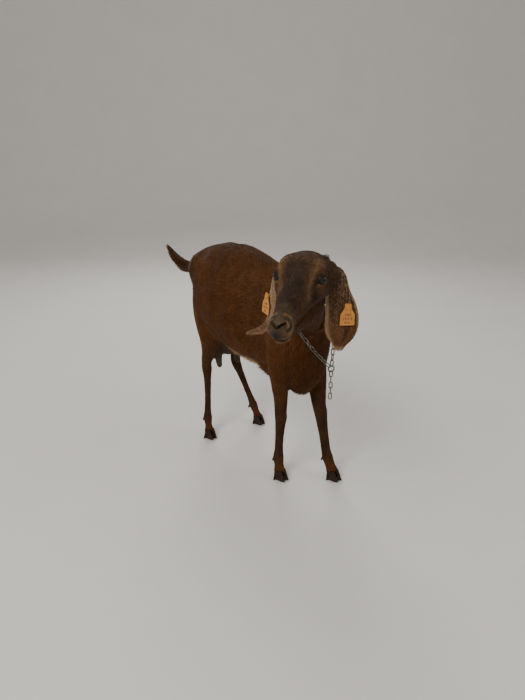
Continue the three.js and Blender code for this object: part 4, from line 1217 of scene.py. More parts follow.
@dataclass
class Coat(Part):
    """Hair as thin closed spikes along the lie of the coat, in pieces by part of the body.

    `limit` is the most spikes that a piece may have, and `patch` a spike's size on the unwrap.
    """

    surface: Surface
    colours: Array
    limit: int = 48_000
    patch: float = 0.003

    def __post_init__(self) -> None:
        """Works out each vertex's length, width, rise and density of hair."""
        table = np.array([(HAIR[r].length, HAIR[r].width, HAIR[r].rise, HAIR[r].density) for r in Region])
        self.hair = self.surface.weights @ table
        self.adjust()

    def adjust(self) -> None:
        """Lengthens and raises the fringes, shortens the muzzle's hair and bares the nose pad and eyes."""
        p, share = self.surface.points, self.surface.share
        local = HeadFrame.into(p)
        skull, on_head = share(Region.SKULL), share(Region.SKULL, Region.JAW)
        thighs = hill(mirrored(p), (60, 300, 560), (50, 50, 110))
        belly = smooth(p[:, 2], 430, 402) * smooth(p[:, 1], -195, -145) * smooth(p[:, 1], 130, 70)
        belly = belly * share(Region.TRUNK)
        brisket = hill(p, (0, -320, 420), (60, 60, 80))
        coronets = smooth(p[:, 2], 42, 34)
        crown = hill(local, (0, -8, 40), (26, 26, 24)) * skull
        tuft = hill(local, (47, -38, 52), (8, 11, 9)) * skull
        longer = 1 + 0.9 * thighs + 1.3 * belly + (0.5 * brisket + 0.5 * coronets) + 1.2 * crown + 2.6 * tuft
        bare = smooth(hill(local, *NOSE_PAD), 0.3, 0.55) * on_head
        for side in SIDES:
            _, _, r, inside = EyeForm(side).measure(local)
            bare = np.maximum(bare, (r < 30) * smooth(inside, -2.2, -1.2) * on_head)
        muzzle = smooth(local[:, 1], -175, -225) * on_head
        self.hair[:, LENGTH] *= longer * (1 - 0.35 * muzzle)
        self.hair[:, RISE] += 20 * belly + 42 * tuft
        self.hair[:, DENSITY] *= 1 - bare

    def pieces(self) -> list[tuple[str, Array]]:
        """The names of the coat's pieces, with which triangles each covers."""
        part = self.surface.part[self.surface.triangles[:, 0]]
        middle = self.surface.points[self.surface.triangles].mean(1)
        names = [form.name for form in (*FLESH, *EARS)]

        def on(*forms: str) -> Array:
            """Where a triangle belongs to one of the named forms."""
            return np.isin(part, [names.index(form) for form in forms])

        left, front = middle[:, 0] > 0, middle[:, 1] < 30
        trunk, head = on("trunk", "udder", "teat_left", "teat_right"), on("skull", "jaw")
        head_left = HeadFrame.into(middle)[:, 0] > 0
        return [
            ("trunk_left_front", trunk & left & front),
            ("trunk_left_rear", trunk & left & ~front),
            ("trunk_right_front", trunk & ~left & front),
            ("trunk_right_rear", trunk & ~left & ~front),
            *((name, on(name)) for name in ("breast", "neck")),
            ("head_left", head & head_left),
            ("head_right", head & ~head_left),
            *((name, on(name)) for name in ("tail", *LEG_ROWS, "ear_left", "ear_right")),
        ]

    def roots(self, mask: Array, rng: np.random.Generator) -> dict[str, Array]:
        """Random roots on the chosen triangles, by area times density.

        Args:
            mask: whether each triangle is chosen.
            rng: the piece's random numbers.

        Returns:
            point, normal, flow, hair values, colour, UV and place on an ear of each root.
        """
        s = self.surface
        triangles = s.triangles[mask]
        a, b, c = (s.points[triangles[:, k]] for k in range(3))
        area = np.linalg.norm(np.cross(b - a, c - a), axis=1) / 2
        expected = area * self.hair[triangles, DENSITY].mean(1)
        expected = expected * min(1.0, self.limit / max(expected.sum(), 1))
        counts = np.floor(expected + rng.random(len(expected))).astype(int)
        chosen = np.repeat(triangles, counts, axis=0)[: self.limit]
        u, v = rng.random((2, len(chosen)))
        flip = u + v > 1
        u, v = np.where(flip, 1 - u, u), np.where(flip, 1 - v, v)
        bary = np.stack([1 - u - v, u, v], -1)[..., None]

        def blend(values: Array) -> Array:
            """Values of the three corners, weighed."""
            return (values[chosen] * bary).sum(1)

        return {
            "point": blend(s.points), "normal": unit(blend(s.normals)), "flow": blend(s.flow),
            "hair": blend(self.hair), "colour": blend(self.colours), "uv": s.uv[chosen[:, 0]],
            "ear": blend(s.ear), "is_ear": s.ear[chosen[:, 0], 3] >= 0,
        }

    @staticmethod
    def spikes(r: dict[str, Array], rng: np.random.Generator) -> Array:
        """The spikes' corners: two at the root, a ridge at 0.38 of the length and a tip.

        The tip is root + direction * length, where the direction is the flow raised by the hair's angle.

        Args:
            r: the roots.
            rng: the piece's random numbers.

        Returns:
            corners (n, 4, 3) in mm.
        """
        n = len(r["point"])
        normal = r["normal"]
        flow = unit(r["flow"] - (r["flow"] * normal).sum(1, keepdims=True) * normal)
        side = np.cross(normal, flow)
        swirl = (0.22 * ripple(r["point"], 30, 7.7) + rng.normal(0, 0.13, n))[:, None]
        flow = flow * np.cos(swirl) + side * np.sin(swirl)
        side = np.cross(normal, flow)
        length = r["hair"][:, LENGTH] * (0.75 + 0.5 * rng.random(n))
        length = length * (1 + 0.18 * ripple(r["point"], 17, 3.3))
        width = r["hair"][:, WIDTH] * (0.8 + 0.4 * rng.random(n))
        rise = np.radians(r["hair"][:, RISE] * (0.6 + 0.8 * rng.random(n)))
        length, width, rise = (values[:, None] for values in (length, width, rise))
        direction = flow * np.cos(rise) + normal * np.sin(rise)
        root = r["point"] - normal * 0.5
        return np.stack([
            root - side * width / 2,
            root + side * width / 2,
            root + direction * length * 0.38 + np.cross(direction, side) * (0.32 * width + 0.4),
            root + direction * length,
        ], 1)

    @staticmethod
    def tones(r: dict[str, Array], rng: np.random.Generator) -> Array:
        """Colours of the spikes' corners: grained, darker at the root as painted shade within the coat, with
        clumps of pale hairs on the ears.

        Args:
            r: the roots.
            rng: the piece's random numbers.

        Returns:
            four linear colours for each spike, one below the other.
        """
        n = len(r["point"])
        grain = 0.13 * ripple(r["point"], 5, 8.8) + 0.11 * ripple(r["point"], 15, 4.4)
        colour = r["colour"] * np.exp(rng.normal(0, 0.14, n) + grain)[:, None]
        along = r["ear"][:, 0]
        clump = smooth(ripple(r["point"], 2.6, 6.2), -0.4, 0.5)
        share = 0.8 * clump * smooth(along, 0.12, 0.36) * smooth(along, 0.9, 0.6)
        pale = r["is_ear"] & (rng.random(n) < share)
        colour[pale] = Markings.cream * [1.0, 1.04, 1.2] * (0.9 + 0.5 * rng.random((pale.sum(), 1)))
        # the root's corners darkened as painted shade within the coat
        return (colour[:, None] * np.array([[0.72], [0.72], [1.0], [1.12]])).reshape(-1, 3)

    def piece(self, name: str, mask: Array, seed: int) -> bpy.types.Object:
        """One piece of the coat, its spikes each mapped to a small patch of the unwrap.

        Args:
            name: what it covers.
            mask: whether it covers each triangle of the surface.
            seed: starts its random numbers.
        """
        rng = np.random.default_rng(seed)
        r = self.roots(mask, rng)
        corners = self.placement(self.spikes(r, rng).reshape(-1, 3))
        spike = np.array([[0, 1, 2], [0, 2, 3], [2, 1, 3], [1, 0, 3]])
        starts = np.arange(0, len(corners), 4)[:, None, None]
        piece = new_object(f"coat_{name}", corners, (starts + spike).reshape(-1, 3), [self.finish], False)
        set_colours(piece.data, self.tones(r, rng))
        spots = np.array([[0, 0], [1, 0], [0.5, 0.5], [0.5, 1]]) * self.patch
        set_uvs(piece.data, np.clip(r["uv"][:, None, None] + spots[spike], 0, 1).reshape(-1, 2))
        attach(piece, "root")
        LOG.info("%s: %d spikes", piece.name, len(starts))
        return piece


class Socket:
    """A shader socket with arithmetic: each operator adds a Math node."""

    def __init__(self, nodes: Nodes, socket: bpy.types.NodeSocket) -> None:
        """Wraps a node's output."""
        self.nodes, self.socket = nodes, socket

    def _math(self, operation: str, a: Socket | float, b: Socket | float) -> Socket:
        """A Math node of two values."""
        return self.nodes.add("ShaderNodeMath", {"operation": operation}, {0: a, 1: b})

    def __add__(self, other: Socket | float) -> Socket:
        """Sum."""
        return self._math("ADD", self, other)

    __radd__ = __add__

    def __sub__(self, other: Socket | float) -> Socket:
        """Difference."""
        return self._math("SUBTRACT", self, other)

    def __rsub__(self, other: Socket | float) -> Socket:
        """Reflected difference."""
        return self._math("SUBTRACT", other, self)

    def __mul__(self, other: Socket | float) -> Socket:
        """Product."""
        return self._math("MULTIPLY", self, other)

    __rmul__ = __mul__


class Nodes:
    """A material's nodes, all made by one method."""

    def __init__(self, tree: bpy.types.NodeTree) -> None:
        """Keeps the material's tree."""
        self.tree = tree

    def add(
        self,
        kind: str,
        settings: Mapping[str, object] | None = None,
        inputs: Mapping[object, object] | None = None,
        output: int | str = 0,
    ) -> Socket:
        """A shader node of any kind.

        Args:
            kind: the node's type.
            settings: attributes set first; "stops" are a ramp's (place, colour) pairs.
            inputs: values or links of its sockets, by name or number.
            output: the output that is returned.
        """
        node = self.tree.nodes.new(kind)
        for key, value in (settings or {}).items():
            if key == "stops":
                elements = node.color_ramp.elements
                while len(elements) < len(value):
                    elements.new(0.5)
                for element, (place, colour) in zip(elements, value):
                    element.position, element.color = place, (*colour, 1)
            else:
                setattr(node, key, value)
        for key, value in (inputs or {}).items():
            if isinstance(value, Socket):
                self.tree.links.new(value.socket, node.inputs[key])
            else:
                node.inputs[key].default_value = value
        return Socket(self, node.outputs[output])

    def place(self) -> Socket:
        """Object coordinates."""
        return self.add("ShaderNodeTexCoord", output="Object")

    def axis(self, vector: Socket, name: str) -> Socket:
        """One axis of a vector."""
        return self.add("ShaderNodeSeparateXYZ", {}, {0: vector}, name)

    def noise(self, scale: float, detail: float) -> Socket:
        """Noise on Object coordinates, from 0 to 1."""
        return self.add("ShaderNodeTexNoise", {}, {
            "Vector": self.place(), "Scale": scale, "Detail": detail, "Roughness": 0.6})

    def ramp(self, share: Socket, *stops: tuple[float, tuple[float, float, float]]) -> Socket:
        """A colour from (place, colour) stops."""
        return self.add("ShaderNodeValToRGB", {"stops": stops}, {0: share})

    def mixed(self, share: Socket | float, a: object, b: object, blend: str = "MIX") -> Socket:
        """A colour between two."""
        settings = {"data_type": "RGBA", "blend_type": blend}
        return self.add("ShaderNodeMix", settings, {0: share, 6: a, 7: b}, 2)

    def bump(self, height: Socket, distance: float, strength: float) -> Socket:
        """A bump of a height field, its distance in metres."""
        return self.add("ShaderNodeBump", {}, {"Height": height, "Distance": distance, "Strength": strength})


@dataclass(frozen=True)
class Finish:
    """A plain physical finish: its name, roughness and the constant shares of its shader."""

    name: str
    roughness: float = 0.6
    metallic: float = 0.0
    specular: float = 0.5
    coat: float = 0.0

    def varied(self, nodes: Nodes) -> dict[str, Socket]:
        """What varies over the surface, by the name of the shader's socket."""
        return {}

    def build(self) -> bpy.types.Material:
        """The material: its constants set on a principled shader, and what varies linked to it."""
        material = bpy.data.materials.new(self.name)
        material.use_nodes = True
        tree = material.node_tree
        shader = tree.nodes["Principled BSDF"]
        constants = {
            "Roughness": self.roughness, "Metallic": self.metallic,
            "Specular IOR Level": self.specular, "Coat Weight": self.coat,
        }
        for name, value in constants.items():
            shader.inputs[name].default_value = value
        for name, value in self.varied(Nodes(tree)).items():
            tree.links.new(value.socket, shader.inputs[name])
        return material


@dataclass(frozen=True)
class CoatFinish(Finish):
    """Hair and skin that take their colour from the mesh, broken up by fine noise.

    `fine` is the scale of the fine noise and `bump` the bump's height in metres, none at 0.
    """

    fine: float = 420
    bump: float = 0.0

    def varied(self, nodes: Nodes) -> dict[str, Socket]:
        """The mesh's colour times a grey of large and fine noise, and a bump of the fine noise."""
        colour = nodes.add("ShaderNodeVertexColor", {"layer_name": COLOUR})
        blotch, fleck = nodes.noise(26, 3), nodes.noise(self.fine, 3)
        tone = blotch * 0.5 + fleck * 0.7 + 0.4
        grey = nodes.add("ShaderNodeCombineColor", {}, {0: tone, 1: tone, 2: tone})
        sockets = {"Base Color": nodes.mixed(1.0, colour, grey, "MULTIPLY")}
        if self.bump:
            height = fleck + nodes.noise(self.fine * 2.5, 2) * 0.5
            sockets["Normal"] = nodes.bump(height, self.bump, 0.7)
        return sockets


class HornFinish(Finish):
    """Dull dark horn with growth lines round the hoof and worn edges."""

    def varied(self, nodes: Nodes) -> dict[str, Socket]:
        """Brown by noise and lines, paler towards the ground, with a bump of the same."""
        height = nodes.axis(nodes.place(), "Z")
        rough = nodes.noise(90, 5)
        lines = nodes.add("ShaderNodeTexWave", {"bands_direction": "Z"}, {
            "Vector": nodes.place(), "Scale": 70, "Distortion": 2.5, "Detail": 2, "Detail Scale": 1.4})
        wear = rough * 0.7 + lines * 0.18 + (0.02 - height) * 6
        return {
            "Base Color": nodes.ramp(
                wear,
                (0.25, (0.014, 0.008, 0.005)), (0.6, (0.042, 0.023, 0.012)), (0.85, (0.095, 0.052, 0.026))),
            "Normal": nodes.bump(lines * 0.6 + rough, 0.0009, 0.8),
        }


class EyeFinish(Finish):
    """A wet, almost black eye: a faint brown iris with a level oblong pupil, from the eye's own UV map."""

    def varied(self, nodes: Nodes) -> dict[str, Socket]:
        """The iris by the distance from the pupil's middle, and the pupil within an ellipse."""
        uv = nodes.add("ShaderNodeUVMap", {"uv_map": GAZE_MAP})
        u, v = nodes.axis(uv, "X"), nodes.axis(uv, "Y")
        reach = nodes.add("ShaderNodeVectorMath", {"operation": "LENGTH"}, {0: uv}, "Value")
        fibres = nodes.add("ShaderNodeTexNoise", {}, {
            "Vector": uv, "Scale": 9, "Detail": 5, "Roughness": 0.7})
        iris = nodes.ramp(
            reach + (fibres - 0.5) * 0.12,
            (0.0, (0.009, 0.007, 0.006)), (0.45, (0.022, 0.014, 0.009)), (0.78, (0.012, 0.010, 0.010)),
            (0.9, (0.005, 0.004, 0.004)), (1.0, (0.014, 0.010, 0.008)))
        pupil = nodes.add("ShaderNodeMapRange", {"interpolation_type": "SMOOTHSTEP"},
                          {0: u * u * 3.0 + v * v * 22.0, 1: 1.25, 2: 0.85, 3: 0.0, 4: 1.0})
        return {"Base Color": nodes.mixed(pupil, iris, (0.004, 0.005, 0.008, 1))}


class TagFinish(Finish):
    """Moulded plastic, a little soiled and faded."""

    def varied(self, nodes: Nodes) -> dict[str, Socket]:
        """Two faded tones by fine spots, under dirt by large noise."""
        dirt, spots = nodes.noise(60, 5), nodes.noise(300, 2)
        clean = nodes.mixed(spots * 0.5, (0.56, 0.21, 0.028, 1), (0.68, 0.32, 0.07, 1))
        share = nodes.add("ShaderNodeMapRange", {}, {0: dirt, 1: 0.52, 2: 0.78, 3: 0.0, 4: 0.65})
        return {
            "Base Color": nodes.mixed(share, clean, (0.28, 0.11, 0.025, 1)),
            "Roughness": dirt * 0.3 + 0.3,
            "Normal": nodes.bump(spots, 0.0002, 0.5),
        }


class SteelFinish(Finish):
    """Dull zinc on steel with stains, its tones kept dark as painted shade."""

    def varied(self, nodes: Nodes) -> dict[str, Socket]:
        """Colour, roughness and bump by one noise of stains."""
        stain = nodes.noise(180, 5)
        return {
            # dark tones: the stains' own, and painted shade over the whole chain
            "Base Color": nodes.ramp(
                stain, (0.3, (0.07, 0.055, 0.04)), (0.5, (0.17, 0.155, 0.14)), (0.72, (0.36, 0.35, 0.33))),
            "Roughness": 0.75 - stain * 0.5,
            "Normal": nodes.bump(stain, 0.0003, 0.6),
        }


@dataclass(frozen=True)
class CloudFinish(Finish):
    """Two tones that noise clouds into each other, as of worn ink or a plain floor."""

    scale: float = 3
    tones: tuple[tuple[float, float, float], ...] = ((0.72, 0.70, 0.665), (0.78, 0.76, 0.725))

    def varied(self, nodes: Nodes) -> dict[str, Socket]:
        """The clouded colour."""
        low, high = ((*tone, 1) for tone in self.tones)
        return {"Base Color": nodes.mixed(nodes.noise(self.scale, 3), low, high)}


@dataclass
class Eye(Part):
    """An eyeball with a bulging cornea, its own map centred on the pupil."""

    side: int
    cornea: float = 9.5
    bulge: float = 1.3

    def build(self) -> None:
        """The eyeball as one piece in place of its solid.

        It is a sphere about its gaze, raised by bulge * (1 - (a / (1.25 * cornea))^2)^1.5 at a mm from
        the pupil's middle.
        """
        form = EyeForm(self.side)
        across, above, out = form.axes
        a, b = np.meshgrid(np.linspace(0.01, np.pi - 0.01, 48), turn_angles(64), indexing="ij")
        gaze = EYE_RADIUS * a / self.cornea
        radius = EYE_RADIUS - 0.25 + self.bulge * np.clip(1 - (gaze / 1.25) ** 2, 0, 1) ** 1.5
        aside = np.cos(b)[..., None] * across + np.sin(b)[..., None] * above
        ball = form.centre + radius[..., None] * (np.cos(a)[..., None] * out + np.sin(a)[..., None] * aside)
        vertices, faces = closed_rings(HeadFrame.out_of(ball))
        uv = np.vstack([np.stack([gaze * np.cos(b), gaze * np.sin(b)], -1).reshape(-1, 2), [[0, 0], [9, 0]]])
        name = "eye_left" if self.side > 0 else "eye_right"
        piece = new_object(f"{name}_ball", self.placement(vertices), faces, [self.finish])
        set_uvs(piece.data, uv[faces].reshape(-1, 2), GAZE_MAP)
        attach(piece, "root")
        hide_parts(name)
        LOG.info("%s", piece.name)


@dataclass
class Hoof(Part):
    """A cloven hoof of two claws, with the dewclaws behind the pastern."""

    leg: str
    half_width: float = 9.6
    toe: float = 33
    heel: float = 22

    def claw(self, lateral: int) -> tuple[Array, Array]:
        """One claw: a wedge long at the sole, set back at the crown, with growth lines and a flat sole.

        A growth line stands proud by a sine of the height.

        Args:
            lateral: 1 for the claw on the animal's left, -1 for the other.
        """
        x, y = LEG_ROWS[self.leg][-1][:2]
        width, toe, heel = self.half_width, self.toe, self.heel
        rows = (
            (x + lateral * 9.2, y - 4, HOOF_HEIGHT + 2, width - 1.2, toe - 15, heel - 5),
            (x + lateral * 9.6, y - 6, HOOF_HEIGHT * 0.6, width - 0.4, toe - 8.5, heel - 2),
            (x + lateral * 9.9, y - 7.6, 3, width, toe - 0.8, heel),
            (x + lateral * 10, y - 8, 0.6, width - 0.4, toe - 1.2, heel - 0.6),
        )
        loft = Loft("claw", Region.FORELEG, rows, AHEAD, crest=1.65, keel=2.5, cap=0.05, around=56, along=60)
        rings = loft.rings()[0]
        height = rings[..., 2]
        lines = 0.28 * np.sin(height * 1.55 + 0.4 * np.sin(rings[..., 0] / 4)) * smooth(height, 2, 6)
        outward = unit((rings - rings.mean(1, keepdims=True)) * [1, 1, 0])
        return closed_rings(np.maximum(rings + outward * lines[..., None], [-np.inf, -np.inf, 0.0]))

    def dewclaw(self, lateral: int) -> tuple[Array, Array]:
        """A small horn behind the pastern, pointing down and back."""
        x, y, z = LEG_ROWS[self.leg][-3][:3]
        rows = (
            (x + lateral * 8, y + 14, z - 6, 5.2, 4.6, 4.6),
            (x + lateral * 9, y + 18.5, z - 13, 4.8, 4.2, 4.2),
            (x + lateral * 9.4, y + 21.5, z - 20, 2.8, 2.4, 2.4),
        )
        return Loft("dewclaw", Region.FORELEG, rows, AHEAD, cap=0.8, around=20, along=14).mesh()

    def build(self) -> None:
        """The hoof as one piece in place of its solid."""
        vertices, faces = joined([self.claw(-1), self.claw(1), self.dewclaw(-1), self.dewclaw(1)])
        node = self.leg.replace("leg", "_hoof")
        piece = new_object(f"{node}_horn", self.placement(vertices), faces, [self.finish])
        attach(piece, "root")
        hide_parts(node)
        LOG.info("%s", piece.name)


@dataclass
class EarTag(Part):
    """A flat panel with sloped shoulders, a boss on a stud through the ear, and a back disc.

    `place` and `across` set the stud on the ear. The panel swings out from the ear by `swing`, turns on
    the stud by `turn` and aside by `yaw`, in degrees. `stand_off` and `back` are how far the panel and the
    disc stand from the middle of the ear. `ink` is the material of its numbers.
    """

    ink: bpy.types.Material
    ear: Ear
    place: float
    across: float
    swing: float
    turn: float
    yaw: float
    stand_off: float
    back: float
    panel: float = 1.8
    corner: float = 3.2
    corners: tuple[tuple[float, float], ...] = (
        (-9, -9), (9, -9), (10, 4), (20, 18), (20.5, 45), (-20.5, 45), (-20, 18), (-10, 4),
    )
    numbers: tuple[tuple[str, float, float], ...] = (
        ("0 0 1", 8.5, 21.5), ("2 3 4 5", 9.5, 31.5), ("6 7 8", 7.0, 40.5),
    )

    def frame(self) -> Matrix:
        """The tag's axes at the stud: across, down and out."""
        at, normal, _ = self.ear.surface(np.array([self.place]), np.array([self.across * self.ear.side]))
        out = Vector(unit(normal[0, 0]))
        down = (out * out.z - Vector(UP)).normalized()
        hinge = down.cross(out)
        down, out = (Matrix.Rotation(np.radians(self.swing), 3, hinge) @ v for v in (down, out))
        down = Matrix.Rotation(np.radians(self.turn), 3, out) @ down
        out = Matrix.Rotation(np.radians(self.yaw), 3, down) @ out
        axes = np.stack([np.array(down.cross(out)), np.array(down), np.array(out)], 1)
        return Matrix([(*row, place) for row, place in zip(axes, at[0, 0])] + [(0, 0, 0, 1)])

    def outline(self) -> Array:
        """The panel's outline, its corners rounded by parabolas, in mm across and down."""
        corners = np.array(self.corners, float)
        before, after = (corners + unit(np.roll(corners, k, 0) - corners) * self.corner for k in (1, -1))
        t = np.linspace(0, 1, 6)[None, :, None]
        arcs = (1 - t) ** 2 * before[:, None] + 2 * t * (1 - t) * corners[:, None] + t**2 * after[:, None]
        return arcs.reshape(-1, 2)

    @staticmethod
    def stack(outline: Array, levels: Sequence[tuple[float, float]]) -> tuple[Array, Array]:
        """A closed body of one outline at several heights.

        Args:
            outline: (n, 2) in mm.
            levels: (height, how far the outline is drawn in) pairs.
        """
        centre = outline.mean(0)
        rings = []
        for height, inset in levels:
            scale = 1 - inset / np.linalg.norm(outline - centre, axis=1).mean()
            rings.append(np.c_[(outline - centre) * scale + centre, np.full(len(outline), height)])
        return closed_rings(np.array(rings))

    @staticmethod
    def turned(profile: Sequence[tuple[float, float]], around: int = 40) -> tuple[Array, Array]:
        """A body turned about the stud, through (height, radius) pairs."""
        angle = turn_angles(around)
        rings = [np.c_[r * np.cos(angle), r * np.sin(angle), np.full(around, h)] for h, r in profile]
        return closed_rings(np.array(rings))

    def digits(self) -> tuple[Array, Array]:
        """Plain raised numbers, set in rows of (text, size, place down the panel) as solid text."""
        parts = []
        for text, size, down in self.numbers:
            curve = bpy.data.curves.new("number", "FONT")
            curve.body, curve.size, curve.align_x, curve.extrude = text, size, "CENTER", 0.22
            curve.resolution_u = 3
            temporary = bpy.data.objects.new("number", curve)
            bpy.context.scene.collection.objects.link(temporary)
            depsgraph = bpy.context.evaluated_depsgraph_get()
            mesh = bpy.data.meshes.new_from_object(temporary.evaluated_get(depsgraph))
            bpy.data.objects.remove(temporary)
            mesh.calc_loop_triangles()
            x, y, z = rows_of(mesh.vertices, "co", 3).astype(float).T
            faces = rows_of(mesh.loop_triangles, "vertices", 3, np.int32)
            parts.append((np.c_[x, down - y, z + (self.stand_off + self.panel + 0.1)], faces[:, ::-1]))
        return joined(parts)

    def body(self) -> tuple[Array, Array]:
        """The panel with its rim, the boss, the stud and the disc behind the ear."""
        low, top, back = self.stand_off, self.stand_off + self.panel, -self.back
        rim = [(low, 0.7), (low + 0.3, 0), (top - 0.3, 0), (top, 0.7), (top - 0.35, 1.6), (top - 0.35, 4)]
        boss = ((-0.4, 6.5), (2.0, 6.5), (2.9, 5.6), (3.0, 3.4), (2.2, 2.9))
        disc = ((-2.0, 9.8), (-1.7, 11), (-0.5, 11), (-0.1, 10.4), (0, 3))
        return joined([
            self.stack(self.outline(), rim),
            self.turned([(top + rise, r) for rise, r in boss]),
            self.turned([(back - 1.8, 2.8), (low + 1, 2.8)]),
            self.turned([(back + rise, r) for rise, r in disc]),
        ])

    def build(self) -> None:
        """The tag as one piece in place of its solid."""
        body = self.body()
        vertices, faces = joined([body, self.digits()])
        matrix = np.array(self.frame())
        placed = vertices @ matrix[:3, :3].T + matrix[:3, 3]
        if np.linalg.det(matrix[:3, :3]) < 0:
            faces = faces[:, ::-1]
        name = self.ear.name.replace("ear_", "ear_tag_")
        finishes = [self.finish, self.ink]
        piece = new_object(f"{name}_plastic", self.placement(placed), faces, finishes, False)
        is_number = np.arange(len(faces)) >= len(body[1])
        piece.data.polygons.foreach_set("material_index", is_number.astype(np.int32))
        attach(piece, "root")
        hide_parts(name)
        LOG.info("%s", piece.name)


TAG_SIZES = (
    {"place": 0.613, "across": 0.4, "swing": 0, "turn": -5, "yaw": 0, "stand_off": 4.2, "back": 3.8},
    {"place": 0.54, "across": 0.62, "swing": 7, "turn": 0, "yaw": -14, "stand_off": 8.5, "back": 6},
)
COLLAR_POINTS = (
    (17, -391, 466), (20, -390, 503), (21, -389, 540), (22, -387, 575), (20, -381, 609),
    (13, -368, 641), (8, -355, 674), (3, -341, 706), (-9, -324, 735), (-31, -304, 754),
    (-60, -287, 753), (-85, -281, 729), (-99, -284, 697), (-101, -295, 663), (-94, -311, 631),
    (-82, -329, 600), (-67, -345, 570), (-51, -355, 544), (-35, -364, 520), (-16, -376, 495),
    (9, -391, 465),
)


@dataclass
class Chain(Part):
    """A loose collar of links that hangs to a ring before the breast, and its free end below."""

    pitch: float = 18.8
    wire: float = 1.7
    over: float = 2.6
    half_width: float = 4.8
    ring_radius: float = 10
    ring_wire: float = 2.2
    ring: tuple[float, float, float] = (14, -393, 458)
    free_end: tuple[tuple[float, float, float], ...] = ((14, -393, 450), (15, -393, 404), (16, -392, 352))
    collar_middle: tuple[float, float, float] = (-50, -340, 640)
    free_middle: tuple[float, float, float] = (0, 0, 400)

    @staticmethod
    def tube(line: Array, radius: float, around: int = 10) -> tuple[Array, Array]:
        """A round wire: the line's point + radius * (outward cos a + up sin a).

        Args:
            line: points of a closed flat line.
            radius: the wire's.
            around: corners of its section.
        """
        tangent = unit(np.roll(line, -1, 0) - np.roll(line, 1, 0))
        outward = np.c_[tangent[:, 1], -tangent[:, 0], np.zeros(len(line))]
        angle = turn_angles(around)[:, None]
        rings = line[:, None] + radius * (outward[:, None] * np.cos(angle) + UP * np.sin(angle))
        vertices = rings.reshape(-1, 3)
        r, s = np.meshgrid(np.arange(len(line)), np.arange(around), indexing="ij")
        after, beside = (r + 1) % len(line) * around, (s + 1) % around
        a, b, c, d = r * around + s, r * around + beside, after + beside, after + s
        faces = np.concatenate([np.stack([a, b, c], -1), np.stack([a, c, d], -1)]).reshape(-1, 3)
        return vertices, outwards(vertices, faces)

    def link_line(self, length: float) -> Array:
        """A link's middle line: two half circles joined by straights, lengthwise along y."""
        angle = np.radians(np.linspace(0, 180, 9))
        arc = np.c_[np.cos(angle), np.sin(angle), np.zeros(9)] * self.half_width
        arc[:, 1] += length / 2 - self.half_width
        return np.vstack([arc, -arc])

    def along(self, points: Sequence[Sequence[float]], middle: Sequence[float]) -> list[tuple[Array, Array]]:
        """Links at even spacing along a curve, neighbours across each other.

        Args:
            points: the curve's.
            middle: what the links face away from.
        """
        fine = catmull(np.array(points, float), np.linspace(0, 1, 1200), True)
        steps = np.r_[0, np.cumsum(np.linalg.norm(np.diff(fine, axis=0), axis=1))]
        count = round(steps[-1] / self.pitch)
        pitch = steps[-1] / count
        start = (np.arange(count) + 0.5) * pitch
        at, beyond = (
            np.stack([np.interp(place, steps, fine[:, k]) for k in range(3)], -1)
            for place in (start, start + 2))
        tangent = unit(beyond - at)
        out = at - middle
        out = unit(out - (out * tangent).sum(1, keepdims=True) * tangent)
        lean = np.where(np.arange(count) % 2, 1.0, -1.0)[:, None]
        across = unit(out + lean * np.cross(tangent, out))
        axes = np.stack([across, tangent, np.cross(across, tangent)], 1)
        vertices, faces = self.tube(self.link_line(pitch + self.over), self.wire)
        return [(vertices @ axes[k] + at[k], faces) for k in range(count)]

    def build(self) -> None:
        """The chain as one piece in place of its solid."""
        angle = turn_angles(40)
        circle = np.c_[np.cos(angle), np.sin(angle), np.zeros(40)] * self.ring_radius
        vertices, faces = self.tube(circle, self.ring_wire, 14)
        facing = unit(np.array([-0.3, -0.95, 0]))
        ring = (vertices @ np.stack([np.cross(UP, facing), UP, facing]) + self.ring, faces)
        links = self.along(COLLAR_POINTS, self.collar_middle) + self.along(self.free_end, self.free_middle)
        vertices, faces = joined([ring, *links])
        piece = new_object("neck_chain_links", self.placement(vertices), faces, [self.finish])
        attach(piece, "root")
        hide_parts("neck_chain")
        LOG.info("%s: %d links", piece.name, len(links))


FLESH_NODES = (
    "torso", "neck", "head", "tail", "udder", "teat_left", "teat_right", "ear_left", "ear_right",
    *(f"{leg}_{part}" for leg in LEG_ROWS for part in ("upper", "lower")),
)


